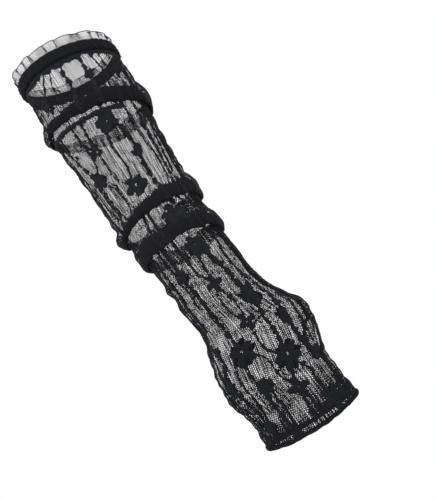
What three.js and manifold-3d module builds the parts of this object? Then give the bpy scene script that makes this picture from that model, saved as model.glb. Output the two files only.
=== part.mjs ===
// A long fingerless evening mitten in black lace, shaped as it is worn on a right arm.
// Millimetres. The origin is the middle of the arm band, +Z runs up the forearm to the elbow, the
// fingers point down and bend to +Y at the wrist, the back of the hand faces -Y and the thumb +X.
// A place on the cloth is a distance s along the arm from the origin towards the fingers, a share u
// of the way round (0 at the thumb's side, 0.25 on the back of the hand) and a lift off the cloth's
// middle.
import * as THREE from 'three';
import Module from 'manifold-3d';

// Lengths along the arm
const SLEEVE_LENGTH = 353;
const BAND_HEIGHT = 10;
const FRILL_HEIGHT = 7.5;
const HEM_HEIGHT = 3.4;

// Widths across the thumb and depths through the palm
const ARM_WIDTH = 85;
const ARM_DEPTH = 76;
const WRIST_WIDTH = 62.6;
const WRIST_DEPTH = 50;
const PALM_WIDTH = 90;
const PALM_DEPTH = 46;
const HEM_WIDTH = 84;
const HEM_DEPTH = 30;

// Cloth
const WALL = 1.0;
const LAYER_GAP = 0.45;
const CLEARANCE = 0.3;

// The wrist's bend towards the palm, with the hand below it
const HAND_LENGTH = 153;
const BEND_DEGREES = 25;
const BEND_START = SLEEVE_LENGTH - HAND_LENGTH;
const BEND_LENGTH = 50;

// Folds: how far the cloth doubles back, how far it rises first and how far the lip stands off.
// The shoulder is the share of the lip's lift that the cloth has halfway up the rise.
const FOLD_OVERLAP = 11;
const FOLD_RISE = 8;
const FOLD_PUFF = 3.2;
const FOLD_SHOULDER = 0.55;

// Trims
const BAND_THICKNESS = 2.2;
const BAND_FLAT_SHARE = 0.6;
const GATHER_DEPTH = 0.5;
const GATHERS = 36;
const PLEATS = 20;
const PLEAT_DEPTH = 2.2;
const PLEAT_SHARPNESS = 3;
const FRILL_FLARE = 1.8;
const FRILL_GATHERED_SHARE = 0.45;
const HEM_THICKNESS = 2.4;
const BINDING_RADIUS = 1.1;
const SEAM_WIDTH = 3;
const SEAM_THICKNESS = 0.8;
const SEAM_GAP = 0.4;

// The thumb's opening, a slit left open in the seam
const THUMB_FROM_HEM = 53;
const THUMB_AT = SLEEVE_LENGTH - THUMB_FROM_HEM;
const THUMB_LENGTH = 27;
const THUMB_WIDTH = 20;
const SEAM_SIDE = -0.05;
const CUT_REACH = 4 * WALL;

// How finely each piece is divided
const SLEEVE_COLUMNS = 32;
const HEM_COLUMNS = 48;
const THUMB_COLUMNS = 28;
const COLUMNS_PER_GATHER = 2;
const COLUMNS_PER_PLEAT = 5;
const CORD_SIDES = 6;

// Sections down the arm. at is a share of the sleeve's length, width and depth are shares of the
// named sizes of the part of the arm that the row follows, thumbward is how far the section lies to
// the thumb's side as a share of the hem's width, and oval is 1 for an ellipse and less for a
// fuller, boxier one. slant is how much lower the section hangs at the thumb's side than at the
// other, and bow how much lower it hangs at its middle, as shares of the named width.
const ARM = { width: ARM_WIDTH, depth: ARM_DEPTH };
const WRIST = { width: WRIST_WIDTH, depth: WRIST_DEPTH };
const PALM = { width: PALM_WIDTH, depth: PALM_DEPTH };
const FINGERS = { width: HEM_WIDTH, depth: HEM_DEPTH };
const SECTIONS = [
  { at: 0.0, follows: ARM, width: 0.96, depth: 0.96, thumbward: 0.01, oval: 1, slant: 0.13, bow: 0 },
  { at: 0.101, follows: ARM, width: 0.98, depth: 1.0, thumbward: 0.01, oval: 1, slant: 0.13, bow: 0.02 },
  { at: 0.177, follows: ARM, width: 0.94, depth: 0.94, thumbward: -0.01, oval: 1, slant: 0.13, bow: 0.03 },
  { at: 0.253, follows: ARM, width: 0.885, depth: 0.88, thumbward: -0.005, oval: 1, slant: 0.08, bow: 0 },
  { at: 0.404, follows: ARM, width: 0.825, depth: 0.77, thumbward: -0.005, oval: 1, slant: -0.05, bow: -0.03 },
  { at: 0.506, follows: WRIST, width: 1.03, depth: 1.08, thumbward: 0.025, oval: 1, slant: 0.03, bow: -0.01 },
  { at: 0.607, follows: WRIST, width: 1.0, depth: 1.0, thumbward: 0.07, oval: 1, slant: 0.02, bow: 0 },
  { at: 0.662, follows: WRIST, width: 1.02, depth: 0.98, thumbward: 0.08, oval: 0.97, slant: 0, bow: 0 },
  { at: 0.713, follows: PALM, width: 0.77, depth: 1.04, thumbward: 0.14, oval: 0.94, slant: 0, bow: 0 },
  { at: 0.769, follows: PALM, width: 0.965, depth: 1.06, thumbward: 0.185, oval: 0.9, slant: 0, bow: 0 },
  { at: 0.809, follows: PALM, width: 1.0, depth: 1.0, thumbward: 0.165, oval: 0.87, slant: 0, bow: 0 },
  { at: 0.885, follows: PALM, width: 0.95, depth: 0.86, thumbward: 0.115, oval: 0.84, slant: 0, bow: 0.01 },
  { at: 0.93, follows: FINGERS, width: 0.96, depth: 1.15, thumbward: 0.15, oval: 0.82, slant: 0, bow: 0.03 },
  { at: 1.0, follows: FINGERS, width: 0.99, depth: 1.0, thumbward: 0.17, oval: 0.8, slant: 0, bow: 0.05 },
];

// Folds where the sleeve has slipped down over itself. at is where the lip hangs at the thumb's
// side, as a share of the sleeve's length, and raised is how much higher it hangs at the other side,
// as a share of the fold overlap. overlap is how far the cloth doubles back, as shares of the fold
// overlap, and puff is shares of the fold puff, each at the thumb's side and at the other. rows is
// the plain rows of the mesh above the fold.
const FOLDS = [
  { at: 0.169, raised: 0.6, overlap: [1.25, 0.6], puff: [1.0, 0.85], rows: 2 },
  { at: 0.4425, raised: 0.0, overlap: [1.25, 0.45], puff: [0.45, 1.1], rows: 4 },
  { at: 0.5245, raised: 0.0, overlap: [1.05, 1.2], puff: [0.7, 0.35], rows: 1 },
];
const ROWS_BELOW_FOLDS = 22;

// Wrinkles that lift the cloth without doubling it. at and long are shares of the sleeve's length,
// side and wide are shares of the way round, and height is a share of the fold puff.
const WRINKLES = [
  { at: 0.597, long: 0.011, side: 0.47, wide: 0.14, height: 0.75 },
  { at: 0.64, long: 0.012, side: 0.55, wide: 0.12, height: 0.35 },
  { at: 0.665, long: 0.014, side: 0.98, wide: 0.12, height: 0.3 },
  { at: 0.81, long: 0.016, side: 0.42, wide: 0.1, height: 0.3 },
];

const interpolatedSections = new THREE.CubicInterpolant(
  SECTIONS.map((row) => row.at * SLEEVE_LENGTH),
  SECTIONS.flatMap(({ follows, width, depth, thumbward, oval, slant, bow }) => [
    width * follows.width,
    depth * follows.depth,
    thumbward * HEM_WIDTH,
    oval,
    slant * follows.width,
    bow * follows.width,
  ]),
  6,
);

// A section across the arm: an ellipse, or a fuller oval where its power is under 1
class Oval extends THREE.Curve {
  constructor([width, depth, thumbward, power, slant, bow]) {
    super();
    Object.assign(this, { width, depth, thumbward, power, slant, bow });
  }

  // How much lower the cloth hangs at a point of the oval
  dropAt(point) {
    const side = (2 * (point.x - this.thumbward)) / this.width;
    return (this.slant * side) / 2 + this.bow * (1 - side * side);
  }

  getPoint(t, target = new THREE.Vector2()) {
    const angle = 2 * Math.PI * t;
    const across = Math.sign(Math.cos(angle)) * Math.abs(Math.cos(angle)) ** this.power;
    const back = Math.sign(Math.sin(angle)) * Math.abs(Math.sin(angle)) ** this.power;
    return target.set(this.thumbward + (across * this.width) / 2, (back * this.depth) / 2);
  }
}

const ovals = new Map();

function ovalAt(s) {
  if (!ovals.has(s)) ovals.set(s, new Oval(interpolatedSections.evaluate(s)));
  return ovals.get(s);
}

// The arm's middle line: straight down the forearm, an arc at the wrist, straight along the hand
function middleAt(s) {
  const fullTurn = THREE.MathUtils.degToRad(BEND_DEGREES);
  const radius = BEND_LENGTH / fullTurn;
  const bent = THREE.MathUtils.clamp(s - BEND_START, 0, BEND_LENGTH);
  const angle = bent / radius;
  const beyond = Math.max(s - BEND_START - BEND_LENGTH, 0);
  return {
    angle,
    y: radius * (1 - Math.cos(angle)) + beyond * Math.sin(angle),
    z: -(Math.min(s, BEND_START) + radius * Math.sin(angle) + beyond * Math.cos(angle)),
  };
}

const wrapped = (u) => u - Math.floor(u);

function wrinkleLift(s, u) {
  return WRINKLES.reduce((lift, { at, long, side, wide, height }) => {
    const down = (s / SLEEVE_LENGTH - at) / long;
    const round = (wrapped(u - side + 0.5) - 0.5) / wide;
    return lift + height * FOLD_PUFF * Math.exp(-down * down - round * round);
  }, 0);
}

// The point at s, u and lift
function place(s, u, lift) {
  const oval = ovalAt(s);
  const point = oval.getPointAt(wrapped(u));
  const tangent = oval.getTangentAt(wrapped(u));
  const off = lift + wrinkleLift(s, u);
  const back = point.y - off * tangent.x;
  const { angle, y, z } = middleAt(s + oval.dropAt(point));
  return new THREE.Vector3(
    point.x + off * tangent.y,
    y - back * Math.cos(angle),
    z - back * Math.sin(angle),
  );
}

// The cloth's way down the arm at one place round it, as (s, lift) points
const SLEEVE_TOP = CLEARANCE;

function plainRows(from, to, rows) {
  const steps = Array.from({ length: rows }, (_, i) => (i + 1) / (rows + 1));
  return steps.map((t) => new THREE.Vector2(THREE.MathUtils.lerp(from, to, t), 0));
}

// Away is 0 at the thumb's side and 1 at the other. The lip rises soon after the thumb's side.
function foldRows(fold, u) {
  const away = (1 - Math.cos(2 * Math.PI * u)) / 2;
  const raised = fold.raised * (1 - (1 - away) ** 3);
  const lip = fold.at * SLEEVE_LENGTH - raised * FOLD_OVERLAP;
  const top = lip - THREE.MathUtils.lerp(...fold.overlap, away) * FOLD_OVERLAP;
  const puff = THREE.MathUtils.lerp(...fold.puff, away) * FOLD_PUFF;
  const pitch = WALL + LAYER_GAP;
  const inner = pitch;
  const outer = 2 * pitch + puff / 2;
  const between = (inner + outer) / 2;
  return [
    [top - FOLD_RISE, 0],
    [top - FOLD_RISE / 2, outer * FOLD_SHOULDER],
    [top - pitch, outer],
    [(top + lip) / 2, outer + puff / 2],
    [lip, outer],
    [lip + (outer - inner) / 2, between],
    [lip, inner],
    [top, inner],
    [top - inner / 2, inner / 2],
    [top, 0],
  ].map(([s, lift]) => new THREE.Vector2(s, lift));
}

function clothWay(u) {
  const way = [new THREE.Vector2(SLEEVE_TOP, 0)];
  for (const fold of FOLDS) {
    const rows = foldRows(fold, u);
    way.push(...plainRows(way.at(-1).x, rows[0].x, fold.rows), ...rows);
  }
  way.push(...plainRows(way.at(-1).x, SLEEVE_LENGTH, ROWS_BELOW_FOLDS));
  way.push(new THREE.Vector2(SLEEVE_LENGTH, 0));
  return way;
}

// The outline of a wall of even thickness whose middle follows the way
function wallOutline(way, thickness) {
  const sides = way.map((point, i) => {
    const before = way[Math.max(i - 1, 0)];
    const after = way[Math.min(i + 1, way.length - 1)];
    const into = point.clone().sub(i ? before : after).multiplyScalar(i ? 1 : -1).normalize();
    const out = i < way.length - 1 ? after.clone().sub(point).normalize() : into;
    const corner = into.clone().add(out).normalize();
    const reach = thickness / 2 / corner.dot(into);
    const normal = new THREE.Vector2(-corner.y, corner.x).multiplyScalar(reach);
    return [point.clone().add(normal), point.clone().sub(normal)];
  });
  return [...sides.map(([over]) => over), ...sides.map(([, under]) => under).reverse()];
}

// Closed meshes
function indexed(points, indices) {
  const geometry = new THREE.BufferGeometry();
  geometry.setAttribute(
    'position',
    new THREE.Float32BufferAttribute(points.flatMap((point) => point.toArray()), 3),
  );
  geometry.setIndex(indices);
  return geometry;
}

function wallBetween(ring, next, count, indices) {
  for (let j = 0; j < count; j += 1) {
    const k = (j + 1) % count;
    indices.push(ring + j, next + j, next + k, ring + j, next + k, ring + k);
  }
}

// A closed outline carried all the way round, at each of the columns
function ringGeometry(columns, outlineAt) {
  const rings = columns.map(outlineAt);
  const count = rings[0].length;
  const indices = [];
  rings.forEach((_, i) => {
    wallBetween(i * count, ((i + 1) % rings.length) * count, count, indices);
  });
  return indexed(rings.flat(), indices);
}

const evenColumns = (count) => Array.from({ length: count }, (_, i) => i / count);

// Columns that lie closer together at the narrow sides of the hand, two of them astride the seam
function sideColumns(count) {
  const lengths = ovalAt(THUMB_AT).getLengths(count);
  const shares = lengths.slice(0, -1).map((length) => length / lengths.at(-1));
  return shares.map((share) => share + SEAM_SIDE - shares[1] / 2);
}

// A closed outline carried from one end to the other, closed there by fans
function barGeometry(rings) {
  const count = rings[0].length;
  const indices = [];
  rings.slice(1).forEach((_, i) => wallBetween(i * count, (i + 1) * count, count, indices));
  const points = rings.flat();
  [rings[0], rings.at(-1)].forEach((ring, end) => {
    const first = end * (rings.length - 1) * count;
    const middle = points.length;
    points.push(ring.reduce((sum, p) => sum.add(p), new THREE.Vector3()).divideScalar(count));
    for (let j = 0; j < count; j += 1) {
      const k = (j + 1) % count;
      indices.push(middle, first + (end ? k : j), first + (end ? j : k));
    }
  });
  return indexed(points, indices);
}

function oval(s, lift, halfHeight, halfThickness, sides) {
  return Array.from({ length: sides }, (_, j) => {
    const angle = (2 * Math.PI * (j + 0.5)) / sides;
    return new THREE.Vector2(
      s - halfHeight * Math.cos(angle),
      lift + halfThickness * Math.sin(angle),
    );
  });
}

const placed = (outline, u) => outline.map(({ x, y }) => place(x, u, y));

// The thumb's opening: the closed line round it, and the way from it to its middle
function thumbPlace(turn, shrink, lift) {
  const around = ovalAt(THUMB_AT).getLength();
  const angle = 2 * Math.PI * turn;
  const s = THUMB_AT - (THUMB_LENGTH / 2 - shrink) * Math.cos(angle);
  const u = SEAM_SIDE + ((THUMB_WIDTH / 2 - shrink) * Math.sin(angle)) / around;
  return place(s, u, lift);
}

// Solids
const wasm = await Module();
wasm.setup();

function manifoldOf(geometry) {
  return new wasm.Manifold(
    new wasm.Mesh({
      numProp: 3,
      vertProperties: new Float32Array(geometry.attributes.position.array),
      triVerts: new Uint32Array(geometry.index.array),
    }),
  );
}

function geometryOf(manifold) {
  const { vertProperties, triVerts } = manifold.getMesh();
  const geometry = new THREE.BufferGeometry();
  geometry.setAttribute('position', new THREE.BufferAttribute(vertProperties, 3));
  geometry.setIndex(new THREE.BufferAttribute(triVerts, 1));
  return geometry;
}

function laceSleeve() {
  const cloth = ringGeometry(sideColumns(SLEEVE_COLUMNS), (u) =>
    placed(wallOutline(clothWay(u), WALL), u),
  );
  const turns = evenColumns(THUMB_COLUMNS);
  const cut = barGeometry(
    [CUT_REACH, -CUT_REACH].map((lift) => turns.map((turn) => thumbPlace(turn, 0, lift))),
  );
  return geometryOf(manifoldOf(cloth).subtract(manifoldOf(cut)));
}

function armBand() {
  const lift = WALL / 2 + CLEARANCE + BAND_THICKNESS / 2;
  const shares = [-1, -BAND_FLAT_SHARE, BAND_FLAT_SHARE, 1];
  const way = shares.map((share) => [(share * BAND_HEIGHT) / 2, 1 - share ** 4]);
  return ringGeometry(evenColumns(COLUMNS_PER_GATHER * GATHERS), (u) => {
    const gather = GATHER_DEPTH * Math.cos(2 * Math.PI * GATHERS * u);
    const outer = way.map(([s, full]) => [s, lift + BAND_THICKNESS / 2 + full * gather]);
    const inner = [1, -1].map((end) => [(end * BAND_HEIGHT) / 2, lift - BAND_THICKNESS / 2]);
    return placed([...outer, ...inner].map(([s, off]) => new THREE.Vector2(s, off)), u);
  });
}

function topFrill() {
  const edge = -BAND_HEIGHT / 2 - FRILL_HEIGHT;
  return ringGeometry(evenColumns(COLUMNS_PER_PLEAT * PLEATS), (u) => {
    const wave = (1 + Math.cos(2 * Math.PI * PLEATS * u)) / 2;
    const pleat = PLEAT_DEPTH * wave ** PLEAT_SHARPNESS;
    const way = [0, FRILL_GATHERED_SHARE, 1].map((share) => {
      const free = Math.max(0, share - FRILL_GATHERED_SHARE) / (1 - FRILL_GATHERED_SHARE);
      return new THREE.Vector2(edge * share, (FRILL_FLARE + pleat) * free);
    });
    return placed(wallOutline(way.reverse(), WALL), u);
  });
}

function fingerHem() {
  const middle = SLEEVE_LENGTH + CLEARANCE + HEM_HEIGHT / 2;
  return ringGeometry(sideColumns(HEM_COLUMNS), (u) =>
    placed(oval(middle, 0, HEM_HEIGHT / 2, HEM_THICKNESS / 2, CORD_SIDES), u),
  );
}

function thumbBinding() {
  return ringGeometry(evenColumns(THUMB_COLUMNS), (turn) => {
    const off = BINDING_RADIUS + CLEARANCE;
    return Array.from({ length: CORD_SIDES }, (_, j) => {
      const angle = (2 * Math.PI * j) / CORD_SIDES;
      const shrink = off + BINDING_RADIUS * Math.cos(angle);
      return thumbPlace(turn, shrink, -BINDING_RADIUS * Math.sin(angle));
    });
  });
}

// The seam's turned edges, flat against the inside of the cloth
function seam(from, to) {
  const lift = -(WALL / 2 + SEAM_GAP + SEAM_THICKNESS / 2);
  const onTheArm = clothWay(SEAM_SIDE).filter(({ x, y }) => y === 0 && x > from && x < to);
  return barGeometry(
    [from, ...onTheArm.map(({ x }) => x), to].map((s) => {
      const half = SEAM_WIDTH / 2 / ovalAt(s).getLength();
      return [
        [-half, -SEAM_THICKNESS / 2],
        [half, -SEAM_THICKNESS / 2],
        [half, SEAM_THICKNESS / 2],
        [-half, SEAM_THICKNESS / 2],
      ].map(([side, off]) => place(s, SEAM_SIDE + side, lift + off));
    }),
  );
}

const lace = new THREE.MeshStandardMaterial({
  name: 'lace',
  color: 0x17171a,
  roughness: 0.85,
  metalness: 0,
});
const elastic = new THREE.MeshStandardMaterial({
  name: 'elastic',
  color: 0x0e0e10,
  roughness: 0.9,
  metalness: 0,
});
const sheer = new THREE.MeshStandardMaterial({
  name: 'sheer',
  color: 0x2b2528,
  roughness: 0.7,
  metalness: 0,
});
const thread = new THREE.MeshStandardMaterial({
  name: 'thread',
  color: 0x101012,
  roughness: 0.8,
  metalness: 0,
});

const mitten = new THREE.Group();
mitten.name = 'evening_mitten';

function add(name, geometry, material) {
  geometry.computeVertexNormals();
  const mesh = new THREE.Mesh(geometry, material);
  mesh.name = name;
  mitten.add(mesh);
}

const thumbEnd = THUMB_LENGTH / 2 + CLEARANCE;
add('lace_sleeve', laceSleeve(), lace);
add('arm_band', armBand(), elastic);
add('top_frill', topFrill(), sheer);
add('finger_hem', fingerHem(), thread);
add('thumb_binding', thumbBinding(), thread);
add('arm_seam', seam(SLEEVE_TOP, THUMB_AT - thumbEnd), thread);
add('hand_seam', seam(THUMB_AT + thumbEnd, SLEEVE_LENGTH), thread);

export default mitten;
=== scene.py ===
"""Dresses a long fingerless mitt in black lace: net, lace figures, band, frill, hem and seams."""
import functools
import math

import bpy
import numpy as np
from bpy.props import FloatProperty, FloatVectorProperty, IntProperty, PointerProperty
from mathutils import Matrix, Vector


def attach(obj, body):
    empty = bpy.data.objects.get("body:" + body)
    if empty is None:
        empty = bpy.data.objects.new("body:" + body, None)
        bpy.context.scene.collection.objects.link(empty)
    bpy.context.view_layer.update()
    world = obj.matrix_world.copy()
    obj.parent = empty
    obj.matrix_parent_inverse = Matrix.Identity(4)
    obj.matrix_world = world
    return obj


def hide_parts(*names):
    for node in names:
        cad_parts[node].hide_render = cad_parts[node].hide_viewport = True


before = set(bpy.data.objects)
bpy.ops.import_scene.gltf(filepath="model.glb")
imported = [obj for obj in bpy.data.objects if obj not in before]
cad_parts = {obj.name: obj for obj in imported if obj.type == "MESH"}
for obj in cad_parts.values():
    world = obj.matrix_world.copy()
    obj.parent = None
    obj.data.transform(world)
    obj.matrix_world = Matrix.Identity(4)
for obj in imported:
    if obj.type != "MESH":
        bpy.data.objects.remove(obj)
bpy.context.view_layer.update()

bl_info = {
    "name": "Lace mitt dresser",
    "version": (1, 0, 0),
    "blender": (4, 5, 0),
    "location": "View3D > Sidebar > Mitt",
    "description": "Makes the net, lace figures, band, frill, hem and seams of a long lace mitt",
    "category": "Object",
}

MM = 0.001
BODY = "root"
TURN = 2 * math.pi

# Sizes of the worn form, in millimetres, as the solids have them
SLEEVE_LENGTH = 353.0
ARM = (85.0, 76.0)
WRIST = (62.6, 50.0)
PALM = (90.0, 46.0)
FINGERS = (84.0, 30.0)
WALL = 1.0
LAYER_GAP = 0.45
CLEARANCE = 0.3
BEND_ANGLE = math.radians(25)
BEND_START = 200.0
BEND_LENGTH = 50.0
FOLD_OVERLAP = 11.0
FOLD_RISE = 8.0
FOLD_PUFF = 3.2
BAND_HEIGHT = 10.0
BAND_THICKNESS = 2.2
FRILL_HEIGHT = 7.5
FRILL_FLARE = 1.8
PLEATS = 20
PLEAT_DEPTH = 2.2
HEM_HEIGHT = 3.4
HEM_THICKNESS = 2.4
HEM_LAP = CLEARANCE + HEM_HEIGHT / 2
BINDING_RADIUS = 1.1
SEAM_WIDTH = 3.0
SEAM_THICKNESS = 0.8
SEAM_GAP = 0.4
THUMB_AT = 300.0
THUMB_LENGTH = 27.0
THUMB_WIDTH = 20.0
SEAM_SIDE = -0.05

# Share down the sleeve, named width and depth, shares of them, share towards the thumb's opening,
# roundness, slant, bow
SECTIONS = (
    (0.0, ARM, 0.96, 0.96, 0.01, 1, 0.13, 0),
    (0.101, ARM, 0.98, 1.0, 0.01, 1, 0.13, 0.02),
    (0.177, ARM, 0.94, 0.94, -0.01, 1, 0.13, 0.03),
    (0.253, ARM, 0.885, 0.88, -0.005, 1, 0.08, 0),
    (0.404, ARM, 0.825, 0.77, -0.005, 1, -0.05, -0.03),
    (0.506, WRIST, 1.03, 1.08, 0.025, 1, 0.03, -0.01),
    (0.607, WRIST, 1.0, 1.0, 0.07, 1, 0.02, 0),
    (0.662, WRIST, 1.02, 0.98, 0.08, 0.97, 0, 0),
    (0.713, PALM, 0.77, 1.04, 0.14, 0.94, 0, 0),
    (0.769, PALM, 0.965, 1.06, 0.185, 0.9, 0, 0),
    (0.809, PALM, 1.0, 1.0, 0.165, 0.87, 0, 0),
    (0.885, PALM, 0.95, 0.86, 0.115, 0.84, 0, 0.01),
    (0.93, FINGERS, 0.96, 1.15, 0.15, 0.82, 0, 0.03),
    (1.0, FINGERS, 0.99, 1.0, 0.17, 0.8, 0, 0.05),
)

# Share down the sleeve of a fold's lip, how much higher it hangs away from the thumb's opening, then
# the overlap on that opening's side and on the other, and the puff on each
FOLDS = (
    (0.169, 0.6, 1.25, 0.6, 1.0, 0.85),
    (0.4425, 0.0, 1.25, 0.45, 0.45, 1.1),
    (0.5245, 0.0, 1.05, 1.2, 0.7, 0.35),
)

# A second, thin fold under the first
THIN_FOLD_AT = 0.173

# Share down the sleeve, length as a share of it, place and width as shares of the way round, height
WRINKLES = (
    (THIN_FOLD_AT, 0.006, 0.33, 0.13, 0.9),
    (0.735, 0.0035, 0.19, 0.05, 0.28),
    (0.597, 0.011, 0.47, 0.14, 0.75),
    (0.64, 0.012, 0.55, 0.12, 0.35),
    (0.665, 0.014, 0.98, 0.12, 0.3),
    (0.81, 0.016, 0.42, 0.1, 0.3),
)

# Small creases and rises of worn cloth: how many, and the least and greatest of each of their measures
CREASES = 90
CREASE_LENGTHS = (12, 34)
CREASE_WIDTHS = (1.6, 4.2)
CREASE_LEANS = (-0.12, 0.12)
CREASE_HEIGHTS = (-0.55, 0.7)

# Height of the small bumps along the sleeve's two narrow sides
EDGE_BUMP = 0.3

# Waves round the sleeve, in rows of height, seed, slowest wave and how many waves
LIP_WAVES = ((0.9, 20, 2, 8), (0.5, 23, 9, 16))
FOLD_TOP_WAVES = ((1.1, 30, 2, 8), (0.8, 33, 12, 20))
FOLD_PUFF_WAVES = ((0.3, 40, 5, 8),)
DENSE_SIDE_WAVES = ((0.02, 55, 3, 6),)
DENSE_TOP_WAVES = ((1.5, 50, 5, 9), (1.8, 51, 17, 30), (1.7, 52, 45, 40))
THIN_FOLD_WAVES = ((0.7, 57, 9, 20),)
RIB_WAVES = ((0.0025, 71, 9, 8),)
BAND_TOP_WAVES = ((0.6, 72, 14, 24),)
BAND_FOOT_WAVES = ((1.2, 73, 20, 30),)
BAND_LUMP_WAVES = ((1.0, 74, 23, 34),)
PLEAT_BEAT_WAVES = ((1.9, 81, 1, 8), (0.5, 85, 8, 8))
PLEAT_SWING_WAVES = ((0.7, 82, 3, 8),)
PLEAT_DEPTH_WAVES = ((0.35, 83, 4, 8),)
FRILL_TOP_WAVES = ((0.5, 84, 7, 8),)
HEM_WAVES = ((0.5, 91, 5, 14),)
HEM_LIFT_WAVES = ((0.45, 92, 7, 16),)
HEM_FAT_WAVES = ((0.13, 93, 16, 30),)
BINDING_WAVES = ((0.12, 95, 10, 20),)


def ripple(share, seed, slowest, count):
    """A wave between about -1 and 1 that closes on itself over one turn."""
    source = np.random.default_rng(seed)
    speeds = slowest + np.arange(count)
    phases = source.uniform(0, TURN, count)
    heights = source.uniform(0.4, 1.0, count)
    rows = zip(heights, speeds, phases)
    return sum(h * np.sin(TURN * speed * share + p) for h, speed, p in rows) / (0.55 * heights.sum())


def waved(value, share, waves, number=0):
    """A value with the waves of one of the tables added to it."""
    for height, seed, slowest, count in waves:
        value = value + height * ripple(share, seed + number, slowest, count)
    return value


def unit(vectors):
    return vectors / np.maximum(np.linalg.norm(vectors, axis=-1, keepdims=True), 1e-9)


def joined(at, values, wanted):
    """The curve through a short table's rows, joined as the solids' sections are."""
    last = len(at) - 1
    wanted = np.clip(wanted, at[0], at[-1])
    low = np.clip(np.searchsorted(at, wanted, side="right") - 1, 0, last - 1)
    high = low + 1
    before = np.where(low > 0, low - 1, high)
    after = np.where(high < last, high + 1, low)
    half = (at[high] - at[low]) / 2
    lead = half / (at[low] - at[before])
    trail = half / (at[after] - at[high])
    part = (wanted - at[low]) / (at[high] - at[low])
    square = part * part
    cube = square * part
    shares = (
        lead * (2 * square - cube - part),
        (1 + lead) * cube - (1.5 + 2 * lead) * square + (lead - 0.5) * part + 1,
        (1.5 + trail) * square - (1 + trail) * cube + 0.5 * part,
        trail * (cube - square),
    )
    rows = (before, low, high, after)
    return sum(share[:, None] * values[row] for share, row in zip(shares, rows))


def looked_up(table, row, column):
    """Values between the cells of a table whose columns close on themselves."""
    row = np.clip(row, 0, table.shape[0] - 1.001)
    top = row.astype(int)
    down = (row - top)[..., None]
    column = column % table.shape[1]
    left = column.astype(int) % table.shape[1]
    across = (column - np.floor(column))[..., None]
    right = (left + 1) % table.shape[1]
    upper = table[top, left] * (1 - across) + table[top, right] * across
    lower = table[top + 1, left] * (1 - across) + table[top + 1, right] * across
    return upper * (1 - down) + lower * down


def middle_line(s):
    """Turn, y and z of the sleeve's middle line at a distance along it."""
    radius = BEND_LENGTH / BEND_ANGLE
    angle = np.clip(s - BEND_START, 0, BEND_LENGTH) / radius
    beyond = np.maximum(s - BEND_START - BEND_LENGTH, 0)
    y = radius * (1 - np.cos(angle)) + beyond * np.sin(angle)
    z = -(np.minimum(s, BEND_START) + radius * np.sin(angle) + beyond * np.cos(angle))
    return angle, y, z


def wrinkle_lift(s, u):
    lift = 0
    for at, length, side, wide, height in WRINKLES:
        down = (s / SLEEVE_LENGTH - at) / length
        aside = ((u - side + 0.5) % 1 - 0.5) / wide
        lift = lift + height * FOLD_PUFF * np.exp(-down * down - aside * aside)
    return lift


class Form:
    """The worn form: a place is a distance s down the sleeve, a share u round it and a lift."""

    STEP = 0.5
    FROM = -14.0
    TO = 362.0
    COLUMNS = 512
    DIVISIONS = 200
    NEAR = 0.001

    def __init__(self):
        s = np.arange(self.FROM, self.TO, self.STEP)
        at = np.array([row[0] for row in SECTIONS]) * SLEEVE_LENGTH
        sizes = np.array([self.section(row) for row in SECTIONS])
        self.sizes = joined(at, sizes, s).T[:, :, None]
        turns = TURN * np.arange(self.DIVISIONS + 1) / self.DIVISIONS
        x, back = self.oval(np.broadcast_to(turns, (len(s), len(turns))))
        steps = np.hypot(np.diff(x), np.diff(back))
        run = np.concatenate((np.zeros((len(s), 1)), np.cumsum(steps, axis=1)), axis=1)
        self.girth = run[:, -1]
        shares = np.arange(self.COLUMNS) / self.COLUMNS
        turned = np.array([np.interp(shares * row[-1], row, turns) for row in run])
        x, back = self.oval(turned)
        ahead_x, ahead_back = self.oval(turned + self.NEAR)
        behind_x, behind_back = self.oval(turned - self.NEAR)
        along = unit(np.stack((ahead_x - behind_x, ahead_back - behind_back), -1))
        width, _, thumbward, _, slant, bow = self.sizes
        side = 2 * (x - thumbward) / width
        drop = slant * side / 2 + bow * (1 - side * side)
        self.table = np.stack((x, back, along[..., 0], along[..., 1], drop), -1)

    @staticmethod
    def section(row):
        _, (wide, deep), width, depth, thumbward, roundness, slant, bow = row
        return (
            wide * width,
            deep * depth,
            FINGERS[0] * thumbward,
            roundness,
            wide * slant,
            wide * bow,
        )

    def oval(self, turns):
        width, depth, thumbward, power, _, _ = self.sizes
        cos, sin = np.cos(turns), np.sin(turns)
        across = np.sign(cos) * np.abs(cos) ** power
        back = np.sign(sin) * np.abs(sin) ** power
        return thumbward + across * width / 2, back * depth / 2

    def girth_at(self, s):
        return np.interp(s, self.FROM + self.STEP * np.arange(len(self.girth)), self.girth)

    def place(self, s, u, lift):
        s, u, lift = np.broadcast_arrays(*(np.asarray(value, float) for value in (s, u, lift)))
        found = looked_up(self.table, (s - self.FROM) / self.STEP, u * self.COLUMNS)
        x, back, along_x, along_back, drop = np.moveaxis(found, -1, 0)
        off = lift + wrinkle_lift(s, u)
        back = back - off * along_x
        angle, y, z = middle_line(s + drop)
        spot = (x + off * along_back, y - back * np.cos(angle), z - back * np.sin(angle))
        return np.stack(spot, -1)


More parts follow.
